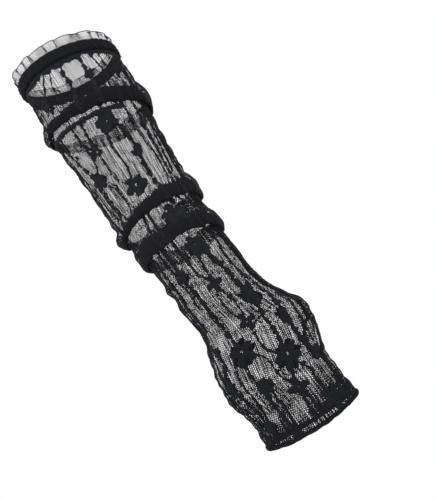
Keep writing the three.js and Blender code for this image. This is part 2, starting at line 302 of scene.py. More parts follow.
def fold_rows(fold, number, u):
    """The cloth's way through one fold, as rows of s and lift round the sleeve."""
    at, raised, thumb_overlap, other_overlap, thumb_puff, other_puff = fold
    away = (1 - np.cos(TURN * u)) / 2
    raised = raised * (1 - (1 - away) ** 3)
    overlap = thumb_overlap + (other_overlap - thumb_overlap) * away
    lip = at * SLEEVE_LENGTH - raised * FOLD_OVERLAP
    lip = waved(lip, u, LIP_WAVES, number)
    top = waved(lip - overlap * FOLD_OVERLAP, u, FOLD_TOP_WAVES, number)
    puff = FOLD_PUFF * (thumb_puff + (other_puff - thumb_puff) * away)
    puff = puff * waved(1, u, FOLD_PUFF_WAVES, number)
    pitch = WALL + LAYER_GAP
    inner = pitch + 0 * u
    outer = 2 * pitch + puff / 2
    between = (inner + outer) / 2
    flat = 0 * u
    return [
        (top - FOLD_RISE, flat),
        (top - FOLD_RISE / 2, outer * 0.55),
        (top - pitch, outer),
        ((top + lip) / 2, outer + puff / 2),
        (lip, outer),
        (lip + (outer - inner) / 2, between),
        (lip, inner),
        (top, inner),
        (top - inner / 2, inner / 2),
        (top, flat),
    ]


def softened(rows, reach):
    """Rows smoothed down the cloth by a bell curve that spans so many rows."""
    offsets = np.arange(-2 * reach, 2 * reach + 1)
    bell = np.exp(-(offsets / reach) ** 2)
    bell = bell / bell.sum()
    index = np.arange(len(rows))
    soft = 0
    for offset, weight in zip(offsets, bell):
        soft = soft + weight * rows[np.clip(index + offset, 0, len(rows) - 1)]
    soft[0], soft[-1] = rows[0], rows[-1]
    return soft


def small_creases(v, u, girth, length):
    """Small lengthwise creases and rises of worn cloth."""
    source = np.random.default_rng(7)
    lift = 0
    for _ in range(CREASES):
        at, side = source.uniform(0, length), source.uniform(0, 1)
        long, wide = source.uniform(*CREASE_LENGTHS), source.uniform(*CREASE_WIDTHS)
        lean, height = source.uniform(*CREASE_LEANS), source.uniform(*CREASE_HEIGHTS)
        down = v - at
        aside = ((u - side + 0.5) % 1 - 0.5) * girth - lean * down
        lift = lift + height * np.exp(-((down / long) ** 2) - (aside / wide) ** 2)
    bumps = np.sin(v / 1.9 + 8 * np.sin(v / 31)) + np.sin(v / 3.1 + 4 * np.sin(TURN * u))
    return lift + EDGE_BUMP * np.cos(TURN * u) ** 8 * bumps


class Cloth:
    """The worn cloth: a place is a share u round it, a distance v down the cloth and a lift."""

    STEP = 0.5
    COLUMNS = 512
    SOFT_ROWS = 2
    TURNED_BACK = 0.4

    def __init__(self, form):
        u = np.arange(self.COLUMNS) / self.COLUMNS
        rows = [(CLEARANCE + 0 * u, 0 * u)]
        for number, fold in enumerate(FOLDS):
            rows += fold_rows(fold, number, u)
        rows.append((SLEEVE_LENGTH + HEM_LAP + 0 * u, 0 * u))
        way = np.array(rows).transpose(0, 2, 1)
        steps = np.linalg.norm(np.diff(way, axis=0), axis=-1).mean(axis=1)
        run = np.concatenate(((0,), np.cumsum(steps)))
        self.length = run[-1]
        v = np.arange(0, self.length, self.STEP)
        low = np.clip(np.searchsorted(run, v, side="right") - 1, 0, len(run) - 2)
        part = ((v - run[low]) / (run[low + 1] - run[low]))[:, None, None]
        way = softened(way[low] * (1 - part) + way[low + 1] * part, self.SOFT_ROWS)
        self.s = way[..., 0]
        self.girth = form.girth_at(self.s.mean(axis=1))
        lift = way[..., 1] + small_creases(v[:, None], u, self.girth[:, None], self.length)
        self.points = form.place(self.s, u, lift)
        down = np.gradient(self.points, axis=0)
        around = np.roll(self.points, -1, axis=1) - np.roll(self.points, 1, axis=1)
        self.normals = unit(np.cross(around, down))
        self.rows_of_s = self.s[..., None]
        passed = np.maximum.accumulate(self.rows_of_s)
        ahead = np.minimum.accumulate(self.rows_of_s[::-1])[::-1]
        self.hidden = (self.rows_of_s < passed - self.TURNED_BACK).astype(float)
        self.outer = (self.rows_of_s > ahead + self.TURNED_BACK).astype(float)

    def found(self, table, u, v):
        return looked_up(table, v / self.STEP, u * self.COLUMNS)

    def at(self, u, v, lift=0.0):
        return self.found(self.points, u, v) + np.asarray(lift)[..., None] * self.facing(u, v)

    def facing(self, u, v):
        return unit(self.found(self.normals, u, v))

    def sleeve_distance(self, u, v):
        return self.found(self.rows_of_s, u, v)[..., 0]

    def hidden_share(self, u, v):
        """How far a place lies in the layers of a fold that its lip hides."""
        return self.found(self.hidden, u, v)[..., 0]

    def outer_share(self, u, v):
        """How far a place lies in the layer of a fold that hides the others."""
        return self.found(self.outer, u, v)[..., 0]

    def girth_at(self, v):
        return np.interp(v, self.STEP * np.arange(len(self.girth)), self.girth)

    def below(self, u, s):
        """The distance down the cloth at which it last passes a distance down the sleeve."""
        column = self.s[:, int(u % 1 * self.COLUMNS)]
        return self.STEP * int(np.nonzero(column < max(s, 1))[0][-1])


@functools.lru_cache
def worn_form():
    return Form()


def on_form(s, u, lift):
    """Points on the worn form, and the directions straight out of it there."""
    points = worn_form().place(s, u, lift)
    return points, unit(worn_form().place(s, u, lift + 1) - points)


@functools.lru_cache
def worn_cloth():
    return Cloth(worn_form())


def in_thumb_opening(u, s, margin=0.0):
    """Whether a place on the cloth lies in the thumb's opening."""
    girth = worn_form().girth_at(THUMB_AT)
    aside = ((u - SEAM_SIDE + 0.5) % 1 - 0.5) * girth / (THUMB_WIDTH / 2 + margin)
    down = (s - THUMB_AT) / (THUMB_LENGTH / 2 + margin)
    return aside * aside + down * down < 1


# The lace's figures on the back: kind, mm across from its middle (less than 0 on the side of the
# thumb's opening), mm down the sleeve, size across
FIGURES = (
    ("leaf", -13, 27, 12),
    ("flower", 34, 30, 11),
    ("flower", 5, 48, 13),
    ("flower", -6, 70, 18),
    ("leaf", -14, 107, 13),
    ("leaf", -33, 81, 9),
    ("bow", 17, 89, 13),
    ("flower", 28, 110, 14),
    ("flower", 2, 133, 18),
    ("flower", -9, 168, 20),
    ("flower", -7, 196, 17),
    ("star", -1, 225, 13),
    ("leaf", 17, 211, 13),
    ("leaf", -17, 244, 20),
    ("star", 1, 258, 14),
    ("leaf", -24, 270, 14),
    ("spiky", 19, 276, 21),
    ("spiky", -14, 296, 22),
    ("leaf", -36, 308, 14),
    ("star", -8, 322, 16),
    ("flower", 13, 308, 13),
    ("spiky", -24, 343, 21),
    ("leaf", 31, 339, 13),
    ("leaf", 40, 297, 12),
    ("leaf", 38, 268, 9),
)

# Beads on the thin vines: mm across, mm down the sleeve
BEADS = (
    (22, 69), (14, 72), (14, 103), (17, 125), (13, 63), (14, 167), (8, 161), (8, 169), (6, 189),
    (6, 206), (-1, 213), (-4, 238), (4, 240), (-5, 238), (-1, 304), (-2, 343), (-9, 346), (-26, 30),
    (-31, 24), (25, 20), (20, 34), (-24, 75), (-33, 95), (34, 83),
)

# The vines: width, then mm across and mm down the sleeve at each place that they pass
VINES = (
    (2.4, (-13, 10), (-13, 20), (-12, 30), (-12, 37), (-9, 48), (-6, 67)),
    (2.6, (3, 8), (5, 18), (4, 28), (5, 35), (6, 44)),
    (1.0, (13, 8), (18, 21), (19, 34), (13, 45), (5, 50)),
    (1.4, (18, 8), (26, 20), (31, 30), (36, 42)),
    (1.0, (35, 8), (38, 22), (37, 31)),
    (1.2, (-22, 8), (-25, 23), (-26, 36), (-23, 48), (-26, 63)),
    (1.0, (-30, 8), (-30, 27), (-32, 38), (-35, 63)),
    (1.0, (-37, 8), (-41, 36), (-38, 48), (-45, 61)),
    (1.4, (-1, 77), (2, 94), (1, 105), (0, 115), (2, 125)),
    (2.4, (-12, 77), (-14, 89), (-15, 98), (-14, 107), (-13, 118), (-12, 128), (-12, 139), (-14, 162)),
    (1.0, (13, 59), (14, 72), (14, 81), (17, 89)),
    (1.0, (21, 50), (22, 69), (21, 78), (18, 88)),
    (1.0, (19, 92), (22, 97), (23, 103), (26, 109)),
    (1.0, (15, 93), (14, 103), (14, 113), (12, 122), (4, 131)),
    (1.0, (25, 113), (17, 125), (16, 137), (14, 149), (11, 155)),
    (2.2, (30, 115), (30, 127), (28, 141), (24, 155)),
    (1.6, (39, 108), (37, 122), (34, 137), (30, 153)),
    (2.3, (38, 63), (40, 77), (37, 88), (32, 101), (29, 109)),
    (1.2, (-26, 63), (-24, 73), (-25, 86), (-25, 99), (-26, 111), (-26, 123), (-24, 138), (-20, 155)),
    (2.1, (-35, 63), (-35, 76), (-32, 93), (-31, 108), (-29, 126), (-26, 155)),
    (1.8, (-45, 61), (-43, 77), (-38, 93), (-35, 113), (-32, 134)),
    (1.8, (-53, 60), (-50, 80), (-46, 100), (-43, 120), (-41, 142)),
    (1.8, (52, 62), (51, 80), (48, 100), (45, 120), (42, 148)),
    (1.2, (11, 155), (13, 161), (14, 167), (12, 174), (15, 186)),
    (1.2, (7, 155), (8, 161), (8, 169), (6, 175), (6, 186)),
    (1.2, (-20, 155), (-22, 162), (-20, 170), (-22, 186)),
    (1.0, (-26, 155), (-28, 165), (-25, 173), (-27, 178)),
    (1.2, (7, 177), (6, 189), (6, 198), (6, 206), (6, 214), (0, 224)),
    (1.3, (-5, 200), (-3, 206), (-1, 213), (-1, 224)),
    (3.0, (-9, 200), (-12, 212), (-14, 218), (-16, 226), (-17, 238)),
    (2.4, (15, 184), (17, 200), (17, 208), (18, 217), (16, 224), (15, 232), (18, 248), (20, 266)),
    (1.2, (20, 184), (23, 197), (21, 208), (22, 216), (20, 224), (21, 234)),
    (1.4, (-22, 186), (-25, 200), (-22, 210), (-22, 220), (-27, 234), (-29, 252)),
    (2.2, (-15, 250), (-11, 262), (-11, 271), (-12, 282), (-13, 292)),
    (2.8, (-29, 252), (-26, 265), (-25, 276), (-27, 287), (-30, 298), (-35, 307)),
    (1.2, (-38, 241), (-35, 274), (-36, 285), (-38, 300)),
    (1.4, (-50, 254), (-51, 270), (-49, 281), (-47, 292), (-45, 304)),
    (1.2, (-43, 256), (-44, 270), (-43, 283), (-43, 296), (-40, 306)),
    (1.0, (-2, 228), (-5, 237), (-3, 246), (1, 257)),
    (1.0, (0, 228), (4, 240), (5, 248), (2, 257)),
    (1.4, (3, 261), (3, 268), (3, 278), (0, 286), (-10, 294)),
    (2.6, (30, 178), (30, 216), (31, 245), (41, 258), (38, 270), (37, 280), (40, 288), (39, 297), (34, 307)),
    (1.8, (20, 282), (20, 296), (17, 304), (13, 307)),
    (1.0, (14, 278), (3, 290), (1, 296), (-1, 306), (-6, 318)),
    (1.8, (-16, 300), (-23, 312), (-25, 318), (-22, 324), (-22, 332), (-23, 340)),
    (2.0, (-13, 300), (-11, 312), (-9, 320)),
    (1.6, (-7, 324), (-5, 332), (-2, 350)),
    (1.6, (-10, 324), (-9, 335), (-9, 352)),
    (2.4, (13, 311), (15, 318), (17, 326), (17, 336), (16, 352)),
    (1.4, (10, 312), (11, 320), (12, 332), (14, 350)),
    (1.6, (33, 304), (31, 322), (32, 332), (32, 352)),
    (1.2, (40, 300), (40, 321), (40, 336), (40, 352)),
    (1.8, (-36, 306), (-39, 319), (-37, 330), (-33, 340), (-35, 352)),
    (1.4, (26, 272), (30, 294), (25, 312), (28, 329), (31, 338)),
    (0.8, (-22, 258), (-12, 260), (-2, 262)),
)

# Vines down the sleeve's narrow sides, and the share of the way round between two of them
SIDE_VINES = 14
SIDE_SPACING = 0.017

# Open middles of the flowers as shares of their size, on the back and on the palm's side
HOLE = 0.045
PALM_HOLE = 0.13

# How steeply a flower's depth grows from its open middle, and the depth far outside any figure
HOLE_SLOPE = 1.6
FAR_OUTSIDE = -9.0

# Kinds of flower: petals, how lopsided, size of the middle, length and narrowness of the petals, and
# share of the open middle
FLOWERS = {
    "flower": (5, 0.12, 0.46, 0.62, 0.55, 1.0),
    "spiky": (5, 0.16, 0.36, 0.74, 1.1, 1.0),
    "star": (4, 0.0, 0.42, 0.7, 1.8, 0.8),
}

# Leaves of a cluster: share of its size aside and ahead, lean and size
LEAVES = ((0, 0, 0.0, 1.0), (-0.2, -0.2, 0.5, 0.6), (0.22, 0.16, -0.45, 0.6))

# A bow's four loops, as shares of its size: how far out and how large, then how long and their thread
BOW_OUT = 0.27
BOW_LOOP = 0.15
BOW_LONG = 1.25
BOW_THREAD = 0.95

# Widest part of a vine that is drawn thin, with beads; wider ones swell and narrow
THIN_VINE = 1.7

# The close knit in the folds, as shares of the way round: its middle, half its reach and its fade
DENSE_MIDDLE = 0.25
DENSE_REACH = 0.34
DENSE_FADE = 0.05
DENSE_SIDES = 0.055

# The close knit's depth in the folds' inner and outer layers, and its height and depth below the band
DENSE_INNER = 1.2
DENSE_OUTER = 1.1
DENSE_TOP = 10.2
DENSE_TOP_DEPTH = 1.5

# Loose loops in the folds' bulge on the side away from the thumb's opening: reach round and depth in mm
OPEN_REACH = 0.075
OPEN_LOOPS = 2.6

# The thin fold's close knit: half its width in mm, then its middle, half its reach and its fade round
THIN_FOLD_WIDTH = 2.7
THIN_FOLD_MIDDLE = 0.33
THIN_FOLD_REACH = 0.19
THIN_FOLD_FADE = 0.03

# Half the width of the seam's turned edges
TURNED_EDGE = 1.25

# The net: distance between courses, lean of a wale as a share of the space between wales, width of a bar
# and height of a thread's ridge
COURSE = 1.0
ZIGZAG = 0.2
BAR_WIDTH = 0.28
ROOF = 0.1

# How much fuller the net's threads are towards the finger opening, in the folds' outer layers, where it
# is gathered at the band and the hem, close above the hem and in front of the thumb's opening
HAND_FULLNESS = 0.3
FOLD_FULLNESS = 0.8
GATHER_FULLNESS = 0.5
HEM_FULLNESS = 0.5
THUMB_FULLNESS = 1.1

# Where it starts to be fuller towards the finger opening and over what length, the reach of the gathers at
# the band and the hem and of the one close above it, and the place and reach in front of the thumb's opening
HAND_FROM = 330
HAND_OVER = 90
BAND_GATHER = 20
HEM_GATHER = 9
HEM_CLOSE = 5
BY_THUMB = (0.084, 376)
BY_THUMB_REACH = (0.033, 13)

# Depth in a figure past which the net isn't made, lift of a figure's edge, depth at which it has its full
# relief and share of its lift on the inner face
FIGURE_MIDDLE = 0.9
FIGURE_EDGE = 0.12
FULL_RELIEF = 2.2
INNER_LIFT = 0.7

# The band: points round it, and its larger and smaller ribs
BAND_COLUMNS = 960
BAND_RIBS = (46, 79)

# The frill: courses of its net, share of its height where the net starts, share that the band holds,
# points and stitches round its edge, and where loose curls of thread stick out: shares round and how many
FRILL_COURSES = 18
FRILL_START = 0.1
FRILL_HELD = 0.4
FRILL_EDGE_POINTS = 1800
FRILL_STITCHES = 260
CURL_PLACES = ((-0.02, 0.09, 5), (0.43, 0.52, 4))
CURL_POINTS = 26
CURL_THREAD = 0.2

# Thickness of the threads wound round the hem and the binding, of those over the seams and of the tack's
STITCH_THREAD = 0.24
SEAM_THREAD = 0.2
TACK_THREAD = 0.34
BINDING_STITCHES = 52
TACK_STITCHES = 9
SEAM_PITCH = 1.7
SEAM_STEP = 0.8

# Ribs across and loops along the figures' chart, and rows of knit along the band's
KNIT_RIBS = 336
KNIT_LOOPS = 2 * 900
BAND_ROWS = 16 * 9

# Where the sleeve's lace is divided, in mm down the cloth
NET_SPLITS = (150, 295)

# Share of the ground that the threads of the sleeve are taken to cover
NET_COVER = 0.46

# Where the figures of the palm's side lie from the back's: mm down the sleeve, mm further down, mm aside
PALM_SHIFT = (
    (46, -37, 0.5),
    (64, -36, 2.0),
    (100, -35, -0.5),
    (136, -28, 0.0),
    (172, -21, -1.6),
    (208, -16, -2.1),
    (226, -6, -0.3),
    (244, 5, 1.1),
    (262, 8, 0.4),
    (280, 8, -1.7),
    (298, 8, -1.7),
    (316, 7, 1.2),
    (334, 7, 0.0),
)
PALM_HALF = 52


def on_back(u):
    """More than 0 on the back, where the folds are close knit, and less on the palm's side."""
    aside = np.abs((u - DENSE_MIDDLE + 0.5) % 1 - 0.5)
    return (DENSE_REACH - aside) / DENSE_FADE


def palm_place(across, down):
    """Where a figure of the back is repeated on the palm's side: mm across and mm down the sleeve."""
    at, along, aside = np.array(PALM_SHIFT).T
    near_middle = 1 - (across / PALM_HALF) ** 2
    return across + np.interp(down, at, aside), down + near_middle * np.interp(down, at, along)


def flower_depth(kind, across, down, size, turn, hole):
    """How far inside a flower with an open middle a place lies."""
    petals, lopsided, middle, length, narrow, hole_share = FLOWERS[kind]
    reach = np.hypot(across, down)
    angle = np.arctan2(down, across) - turn
    petal = np.abs(np.cos(petals / 2 * angle))
    swell = 1 + lopsided * np.sin(angle + 3 * turn)
    edge = size / 2 * swell * (middle + length * petal**narrow)
    return np.minimum(edge - reach, HOLE_SLOPE * (reach - hole_share * hole * size))


def leaf_depth(across, down, size, turn, hole):
    """How far inside a cluster of three leaves along the vine a place lies."""
    depth = FAR_OUTSIDE + 0 * across
    for aside, ahead, lean, share in LEAVES:
        x, y = across - aside * size, down - ahead * size
        tilt = turn + lean
        along = x * math.sin(tilt) + y * math.cos(tilt)
        over = x * math.cos(tilt) - y * math.sin(tilt)
        long, wide = size * share / 2, size * share * 0.24
        depth = np.maximum(depth, wide * (1 - (along / long) ** 2) - np.abs(over))
    return depth


def bow_depth(across, down, size, turn, hole):
    """How far inside the thread of four open loops a place lies."""
    depth = FAR_OUTSIDE + 0 * across
    for quarter in range(4):
        tilt = turn + math.pi / 4 + quarter * math.pi / 2
        x = across - BOW_OUT * size * math.cos(tilt)
        y = down - BOW_OUT * size * math.sin(tilt)
        along = x * math.cos(tilt) + y * math.sin(tilt)
        over = y * math.cos(tilt) - x * math.sin(tilt)
        ring = np.hypot(along / BOW_LONG, over) - BOW_LOOP * size
        depth = np.maximum(depth, BOW_THREAD - np.abs(ring))
    return depth


FIGURE_SHAPES = {kind: functools.partial(flower_depth, kind) for kind in FLOWERS}
FIGURE_SHAPES.update(leaf=leaf_depth, bow=bow_depth)


class LaceChart:
    """How far inside the lace's figures each place of the cloth lies, in millimetres."""

    COLUMNS = 400
    STEP = 0.66
    OUTSIDE = -4.0
    BEAD_SIZE = 2.9

    def __init__(self, cloth):
        self.cloth = cloth
        self.v = np.arange(0, cloth.length - 0.5, self.STEP)
        self.u = np.arange(self.COLUMNS) / self.COLUMNS
        self.depth = np.full((len(self.v), self.COLUMNS), self.OUTSIDE)
        source = np.random.default_rng(3)
        for palm in (False, True):
            for kind, across, down, size in FIGURES:
                turn = source.uniform(-0.3, 0.3)
                self.add(FIGURE_SHAPES[kind], across, down, size, turn, palm)
            for across, down in BEADS:
                self.add(self.bead_depth, across, down, self.BEAD_SIZE, 0.0, palm)
            for number, (width, *places) in enumerate(VINES):
                self.add_vine(width, places, palm, number)
        for number in range(SIDE_VINES):
            self.add_side_vine(number)
        self.add_dense_rows()
        self.depth += self.ragged_edge()

    @staticmethod
    def bead_depth(across, down, size, turn, hole):
        return size / 2 - np.hypot(across, down / 1.25)

    def spot(self, across, down, palm):
        """Share round and distance down the cloth of a charted place, on the back or the palm's side."""
        if palm:
            across, down = palm_place(across, down)
        aside = across / worn_form().girth_at(down)
        u = 0.75 - aside if palm else 0.25 + aside
        return u, self.cloth.below(u, down)

    def window(self, u, v, reach):
        rows = np.nonzero(np.abs(self.v - v) < reach)[0]
        aside = ((self.u - u + 0.5) % 1 - 0.5) * self.cloth.girth_at(v)
        columns = np.nonzero(np.abs(aside) < reach)[0]
        return np.ix_(rows, columns), aside[columns][None, :], (self.v[rows] - v)[:, None]

    def raise_to(self, where, depth):
        self.depth[where] = np.maximum(self.depth[where], depth)

    def add(self, shape, across, down, size, turn, palm):
        u, v = self.spot(across, down, palm)
        where, aside, ahead = self.window(u, v, 0.75 * size)
        if where[0].size and where[1].size:
            self.raise_to(where, shape(aside, ahead, size, turn, PALM_HOLE if palm else HOLE))

    def add_vine(self, width, places, palm, number):
        spots = [self.spot(across, down, palm) for across, down in places]
        run = 0.0
        for (u, v), (next_u, next_v) in zip(spots, spots[1:]):
            girth = self.cloth.girth_at(v)
            turn = ((next_u - u + 0.5) % 1 - 0.5) * girth
            length = math.hypot(turn, next_v - v)
            where, aside, ahead = self.window(u, v, length + 3)
            if where[0].size and where[1].size and length > 0:
                share = np.clip((aside * turn + ahead * (next_v - v)) / length**2, 0, 1)
                passed = run + share * length
                swell = np.sin(TURN * passed / 9.0 + number)
                sway = 0.12 * width * np.sin(TURN * passed / 5.3 + 2 * number)
                off = np.hypot(aside - share * turn + sway, ahead - share * (next_v - v))
                if width > THIN_VINE:
                    half = 0.66 * width * (1 + 0.42 * swell + 0.24 * np.sin(TURN * passed / 3.7))
                else:
                    half = 0.55 * width + 0.12 + 0.45 * np.maximum(swell, 0) ** 6
                self.raise_to(where, (0.7 if palm else 1.0) * half - off)
            run += length

    def add_side_vine(self, number):
        """A vine that wanders down a narrow side of the sleeve, which the chart doesn't reach."""
        source = np.random.default_rng(60 + number)
        near = 0.0 if number % 2 else 0.5
        aside = near + (number // 2 - SIDE_VINES // 4) * SIDE_SPACING
        v = self.v[:, None]
        wave = 0.005 * np.sin(v / 8 + source.uniform(0, TURN)) + 0.004 * np.sin(v / 19 + number)
        girth = self.cloth.girth_at(self.v)[:, None]
        off = np.abs((self.u - aside - wave + 0.5) % 1 - 0.5) * girth
        swell = np.sin(TURN * v / 14 + source.uniform(0, TURN))
        self.raise_to(slice(None), 0.85 + 0.75 * np.maximum(swell, 0) ** 2 - off)

    def add_fold_rows(self, u, v):
        """The close knit in the folds: their hidden layers on the back, and their sides outside."""
        places = np.broadcast_arrays(u, v)
        back = DENSE_INNER * np.clip(on_back(u), -1, 1)
        self.raise_to(slice(None), np.where(self.cloth.hidden_share(*places) > 0.5, back, self.OUTSIDE))
        beside = np.abs((2 * u + 0.5) % 1 - 0.5) / 2
        reach = waved(DENSE_SIDES, u, DENSE_SIDE_WAVES)
        sides = DENSE_OUTER * np.clip((reach - beside) / DENSE_FADE * 3, -1, 1)
        loops = np.sin(TURN * 47 * u + v / 1.3) + np.sin(TURN * 29 * u - v / 0.9 + 1)
        open_side = np.clip((OPEN_REACH - np.abs(u - 0.5)) / DENSE_FADE * 3, 0, 1)
        sides = sides - OPEN_LOOPS * np.clip(loops, 0, 1) * open_side
        self.raise_to(slice(None), np.where(self.cloth.outer_share(*places) > 0.5, sides, self.OUTSIDE))

    def add_thin_fold(self, u, v):
        """The close knit of the thin fold under the first."""
        s = self.cloth.sleeve_distance(*np.broadcast_arrays(u, v))
        width = waved(THIN_FOLD_WIDTH, u, THIN_FOLD_WAVES)
        ridge = width - np.abs(s - THIN_FOLD_AT * SLEEVE_LENGTH + 0.8)
        thin = np.clip((THIN_FOLD_REACH - np.abs(u - THIN_FOLD_MIDDLE)) / THIN_FOLD_FADE, -1, 1)
        self.raise_to(slice(None), np.minimum(ridge, 2 * thin))

    def add_dense_rows(self):
        """The close knit in the folds and at the band, and the seam's turned edges."""
        u = self.u[None, :]
        v = self.v[:, None]
        self.add_fold_rows(u, v)
        top = waved(DENSE_TOP, u, DENSE_TOP_WAVES) - v
        palm_side = np.minimum(np.clip(on_back(u), -1, 1), 0)
        self.raise_to(slice(None), np.minimum(top, DENSE_TOP_DEPTH + 6 * palm_side))
        self.add_thin_fold(u, v)
        girth = self.cloth.girth_at(self.v)[:, None]
        width = TURNED_EDGE + 0.25 * np.sin(v / 2.1)
        self.raise_to(slice(None), width - np.abs((u - SEAM_SIDE + 0.5) % 1 - 0.5) * girth)

    def ragged_edge(self):
        """The uneven edge that a figure has where it is knitted into the net."""
        source = np.random.default_rng(11)
        rows, columns = self.depth.shape
        coarse = source.uniform(-0.6, 0.5, (rows // 2 + 1, columns // 2 + 1))
        return np.repeat(np.repeat(coarse, 2, axis=0), 2, axis=1)[:rows, :columns]

    def at(self, u, v):
        table = self.depth[..., None]
        return looked_up(table, v / self.STEP, u * self.COLUMNS)[..., 0]


@functools.lru_cache
def lace_chart():
    return LaceChart(worn_cloth())


def gathered_used(points, faces, chart):
    """The points that faces use, and the faces numbered by them."""
    used, numbers = np.unique(faces, return_inverse=True)
    return points[used], numbers.reshape(faces.shape), chart[used]


def between_rings(rings, sides, closed=True):
    """Four-sided faces between rings of points, each ring closed on itself."""
    ring = np.arange(rings if closed else rings - 1)[:, None]
    side = np.arange(sides)[None, :]
    after, beside = (ring + 1) % rings, (side + 1) % sides
    corners = (
        ring * sides + side,
        after * sides + side,
        after * sides + beside,
        ring * sides + beside,
    )
    return np.stack(corners, -1).reshape(-1, 4)


def faced_outward(points, faces):
    """The faces, turned if they enclose their volume inside out."""
    a, b, c, d = (points[faces[:, k]] for k in range(4))
    volume = (np.cross(b, c) * a).sum() + (np.cross(c, d) * a).sum()
    return faces if volume > 0 else faces[:, ::-1]


def make_piece(name, points, faces, chart, finish, node, slot):
    """A piece of the mitt from points in millimetres and four-sided faces, with its chart as UVs."""
    points, faces, chart = gathered_used(points, faces, chart)
    mesh = bpy.data.meshes.new(name)
    mesh.vertices.add(len(points))
    mesh.vertices.foreach_set("co", (points * MM).astype(np.float32).ravel())
    mesh.loops.add(faces.size)
    mesh.loops.foreach_set("vertex_index", faces.astype(np.int32).ravel())
    mesh.polygons.add(len(faces))
    mesh.polygons.foreach_set("loop_start", np.arange(0, faces.size, 4, dtype=np.int32))
    mesh.polygons.foreach_set("use_smooth", np.ones(len(faces), dtype=bool))
    mesh.update(calc_edges=True)
    corners = chart[faces].astype(float)
    past = corners[..., 0].max(axis=1) - corners[..., 0].min(axis=1) > 0.5
    corners[..., 0] += past[:, None] & (corners[..., 0] < 0.5)
    corners[..., 0] /= 1.05
    layer = mesh.uv_layers.new(name="OFBake")
    layer.data.foreach_set("uv", corners.astype(np.float32).ravel())
    mesh.validate()
    piece = bpy.data.objects.new(name, mesh)
    bpy.context.collection.objects.link(piece)
    mesh.materials.append(finish())
    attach(piece, BODY)
    if node:
        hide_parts(node)
    return piece


def sizes():
    return bpy.context.scene.mitt_sizes


def leaning(course, wale):
    """How a wale leans at each course: in turn to one side and to the other."""
    return np.where((course + wale) % 2 == 0, ZIGZAG, -ZIGZAG)


def strand_faces(shape, across):
    """Faces down the wales of a net, in one layer for each strip between the points across a thread."""
    first = across * np.arange(shape[0] * shape[1]).reshape(shape)
    upper, lower = first[:-1], first[1:]
    strips = []
    for edge in range(across - 1):
        corners = (upper + edge, upper + edge + 1, lower + edge + 1, lower + edge)
        strips.append(np.stack(corners, -1))
    return strips


def net_bars(where, middle, along, half, across, height):
    """Bars from some of a net's places to the next wale, with their faces and their chart."""
    start, end = middle[where], np.roll(middle, -1, axis=1)[where]
    thick = half * unit(along[where])
    points = np.stack((start - thick, start + thick, end + thick, end - thick), 1).reshape(-1, 3)
    after = np.roll(across, -1, axis=1)[where]
    shares = np.stack((across[where], across[where], after, after), 1).ravel()
    faces = np.arange(len(points)).reshape(-1, 4)
    return points, faces, np.stack((shares, np.repeat(height[where], 4)), -1)


def net_mesh(strand, faces, across, height, bars):
    """The strands and the bars of a net as one mesh with its chart."""
    points = strand.reshape(-1, 3)
    count = strand.shape[2]
    chart = np.stack((np.repeat(across.ravel(), count), np.repeat(height.ravel(), count)), -1)
    bar_points, bar_faces, bar_chart = bars
    return (
        np.concatenate((points, bar_points)),
        np.concatenate((*faces, bar_faces + len(points))),
        np.concatenate((chart, bar_chart)),
    )


def net_fullness(u, v):
    """How much fuller than plain net the threads are at each place."""
    cloth = worn_cloth()
    above_hem = cloth.length - v
    fuller = HAND_FULLNESS * np.clip((v - HAND_FROM) / HAND_OVER, 0, 1)
    fuller = fuller + FOLD_FULLNESS * cloth.outer_share(u, v) * np.clip(on_back(u), 0, 1)
    fuller = fuller + GATHER_FULLNESS * np.exp(-((v / BAND_GATHER) ** 2))
    fuller = fuller + GATHER_FULLNESS * np.exp(-((above_hem / HEM_GATHER) ** 2))
    fuller = fuller + HEM_FULLNESS * np.exp(-((above_hem / HEM_CLOSE) ** 2))
    beside = (u - BY_THUMB[0]) / BY_THUMB_REACH[0]
    beyond = (v - BY_THUMB[1]) / BY_THUMB_REACH[1]
    return fuller + THUMB_FULLNESS * np.exp(-(beside**2) - beyond**2)


def net_piece(name, top, bottom):
    """Real net between two distances down the cloth: zigzag wales joined by bars."""
    cloth, lace, wales = worn_cloth(), lace_chart(), sizes().wales
    v = np.arange(top, bottom + COURSE / 2, COURSE)[:, None]
    wale = np.arange(wales)[None, :]
    lean = leaning(np.arange(v.shape[0])[:, None] + round(top / COURSE), wale)
    source = np.random.default_rng(5)
    sway = 0.16 * np.sin(v / 21 + source.uniform(0, TURN, wales)) + 0.1 * np.sin(v / 5 + 1.7 * wale)
    u = ((wale + lean + sway) / wales) % 1
    v = v + 0 * u
    middle = cloth.at(u, v)
    facing = cloth.facing(u, v)
    along = np.gradient(middle, axis=0)
    side = unit(np.cross(facing, along))
    fat = source.uniform(0.75, 1.25, (1, wales, 1)) * source.uniform(0.75, 1.25, (v.shape[0], wales, 1))
    fat = fat * (1 + net_fullness(u, v))[..., None]
    half = sizes().net_thread / MM / 2 * fat * side
    strand = np.stack((middle - half, middle + ROOF * facing, middle + half), 2)
    in_opening = in_thumb_opening(u, cloth.sleeve_distance(u, v), -0.6)
    shown = (lace.at(u, v) < FIGURE_MIDDLE) & ~in_opening
    kept = shown[1:] | shown[:-1]
    faces = [layer[kept] for layer in strand_faces(u.shape, 3)]
    height = 1 - v / cloth.length
    crossed = (lean > 0) & shown & np.roll(shown, -1, axis=1)
    bars = net_bars(crossed, middle, along, BAR_WIDTH / 2, u, height)
    mesh = net_mesh(strand, faces, u, height, bars)
    return make_piece(name, *mesh, net_finish, "lace_sleeve", "lace")


